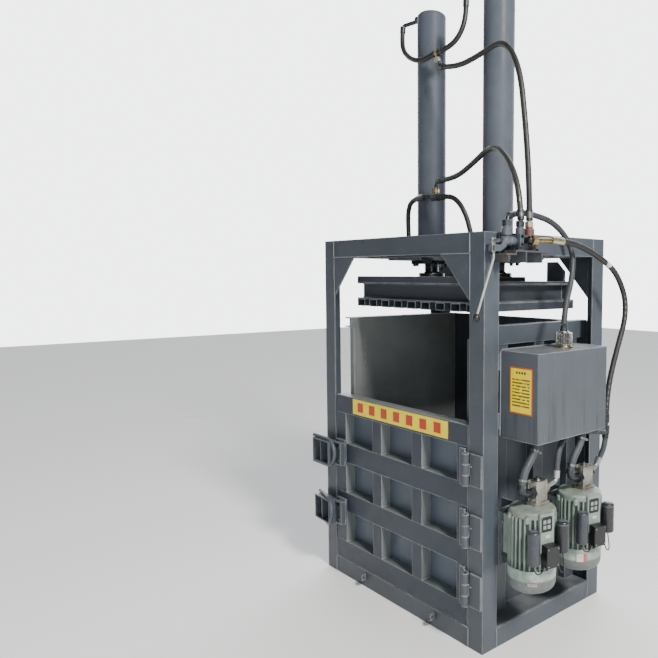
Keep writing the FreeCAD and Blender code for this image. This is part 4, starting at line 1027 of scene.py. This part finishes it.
# rings in the sill's lugs, hose clamps, stickers on the cowls
sillRings = {"xs": (-0.233, 0.27), "y": -0.4005, "z": 0.0445, "reach": 0.0095, "thick": 0.002, "tilt": 32}
clamps = {"places": (((0.7, -0.2435, 0.819), (0, -0.47, -0.88)), ((0.7, 0.0515, 0.819), (0, -0.4, -0.92)),
                     ((0.7, -0.3085, 0.7175), (0, -0.25, -0.97)),
                     ((0.7, -0.0135, 0.7175), (0, -0.31, -0.95))),
          "inner": 0.0155, "outer": 0.0169, "half": 0.0045, "rim": 0.9, "side": (0.6, -0.8), "lift": 0.0035,
          "block": (0.01, 0.008, 0.0099), "corner": 0.0015, "screwOut": 0.004, "screw": (0.007, 0.006)}
stickers = {"front": {"radius": 0.096, "turns": (-58, -36), "heights": (0.3225, 0.3355),
                      "finish": "cowlLabelFront"},
            "rear": {"radius": 0.0962, "turns": (-56, -32), "heights": (0.33, 0.362),
                     "finish": "cowlLabelRear"}}
stickerThick = 0.0009


def hangRings():
    shape = bmesh.new()
    tilt = Matrix.Rotation(math.radians(sillRings["tilt"]), 4, "X")
    for x in sillRings["xs"]:
        placed = Matrix.Translation((x, sillRings["y"], sillRings["z"])) @ tilt
        addRing(shape, placed, sillRings["reach"], sillRings["thick"])
    newPiece("sill_rings", shape, "brightSteel")


def clampHoses():
    shape = bmesh.new()
    inner, outer, half, rim = (clamps[part] for part in ("inner", "outer", "half", "rim"))
    section = [(inner, -half), (outer, -half * rim), (outer, half * rim), (inner, half), (inner, -half)]
    across, along = clamps["side"]
    for place, direction in clamps["places"]:
        placed = aimed(place, direction)
        addTurned(shape, placed, section, 32)
        side = placed @ Matrix.Translation((across * outer, along * outer - clamps["lift"], 0))
        addPlate(shape, side, clamps["block"], clamps["corner"])
        screwed = side @ Matrix.Rotation(math.pi / 2, 4, "Y") @ Matrix.Translation((0, 0, clamps["screwOut"]))
        addHex(shape, screwed, *clamps["screw"])
    newPiece("hose_clamps", shape, "brightSteel")


def stickCowls():
    for motor, y in zip(motorNames, motors["ys"]):
        facts = stickers[motor]
        shape = bmesh.new()
        addWrap(shape, (motors["x"], y, 0), facts["radius"], stickerThick, facts["turns"], *facts["heights"])
        newPiece("cowl_label_" + motor, shape, facts["finish"])


hangRings()
clampHoses()
stickCowls()
print("small fittings set")


# wires from the capacitors to the terminal boxes, on routes measured from each motor's middle
wiring = {"size": 0.0045, "left": {"length": 0.089, "route": [
    (0.775, -0.088, 0.42), (0.779, -0.0905, 0.396), (0.792, -0.08, 0.383), (0.799, -0.061, 0.393),
    (0.7995, -0.0525, 0.419)]}, "right": {"length": 0.141, "route": [
        (0.803, 0.046, 0.441), (0.806, 0.05, 0.408), (0.816, 0.043, 0.373), (0.821, 0.023, 0.37),
        (0.819, 0.008, 0.392), (0.8125, 0.0, 0.42)]}}


def layWires():
    for motor, y in zip(motorNames, motors["ys"]):
        for side in ("left", "right"):
            route = [(x, y + along, height) for x, along, height in wiring[side]["route"]]
            piece = layTube("%s_wire_%s" % (motor, side), route, wiring["size"], tube["wireRound"])
            piece.data.materials.append(finishes["wireBlack"])


layWires()
print("wires laid")


# floor and light: the half of the sky behind the machine is a bright studio wall, the rest is dim
stage = {"floor": 14.0, "floorTone": (246, 246, 245), "floorDip": 0.985, "floorGlow": 0.05,
         "sky": 0.165, "backSky": 4.4, "skyTone": (0.95, 0.97, 1.0, 1), "turning": (0.5, 0.72),
         "backDirection": (-0.72, 0.69, 0.0)}
lamps = {"keyLight": {"place": (5.0, -1.0, 4.9), "aim": (0.2, 0, 1.1), "size": 1.0, "power": 590,
                      "tone": (1.0, 0.965, 0.92)},
         "fillLight": {"place": (3.6, -3.0, 2.0), "aim": (0, 0, 1.0), "size": 1.6, "power": 58,
                       "tone": (0.9, 0.95, 1.0)}}


def makeFloor():
    shape = bmesh.new()
    bmesh.ops.create_grid(shape, x_segments=1, y_segments=1, size=stage["floor"])
    paint = Paint("floorPaint")
    tone = stage["floorTone"]
    colour = paint.mix(paint.noise(2.5, 3), shade(tone, stage["floorDip"]), shade(tone))
    paint.finish(colour, 0.8, others={"Specular IOR Level": 0.2, "Emission Color": (1, 1, 1, 1),
                                      "Emission Strength": stage["floorGlow"]})
    put("studioFloor", meshed("studioFloor", shape, "floorPaint"))


def hangLamps():
    for name, facts in lamps.items():
        data = bpy.data.lights.new(name, "AREA")
        data.size = facts["size"]
        data.energy = facts["power"]
        data.color = facts["tone"]
        lamp = put(name, data)
        lamp.location = facts["place"]
        lamp.rotation_euler = (Vector(facts["aim"]) - lamp.location).to_track_quat("-Z", "Y").to_euler()


def makeSky():
    sky = Paint("studioSky", "worlds", "Background", "Generated")
    strength = sky.between(sky.dot(sky.place, stage["backDirection"]), *stage["turning"], stage["sky"],
                           stage["backSky"])
    sky.feed(sky.end.inputs["Color"], stage["skyTone"])
    sky.feed(sky.end.inputs["Strength"], strength)
    bpy.context.scene.world = sky.held


makeFloor()
hangLamps()
makeSky()
print("stage set")
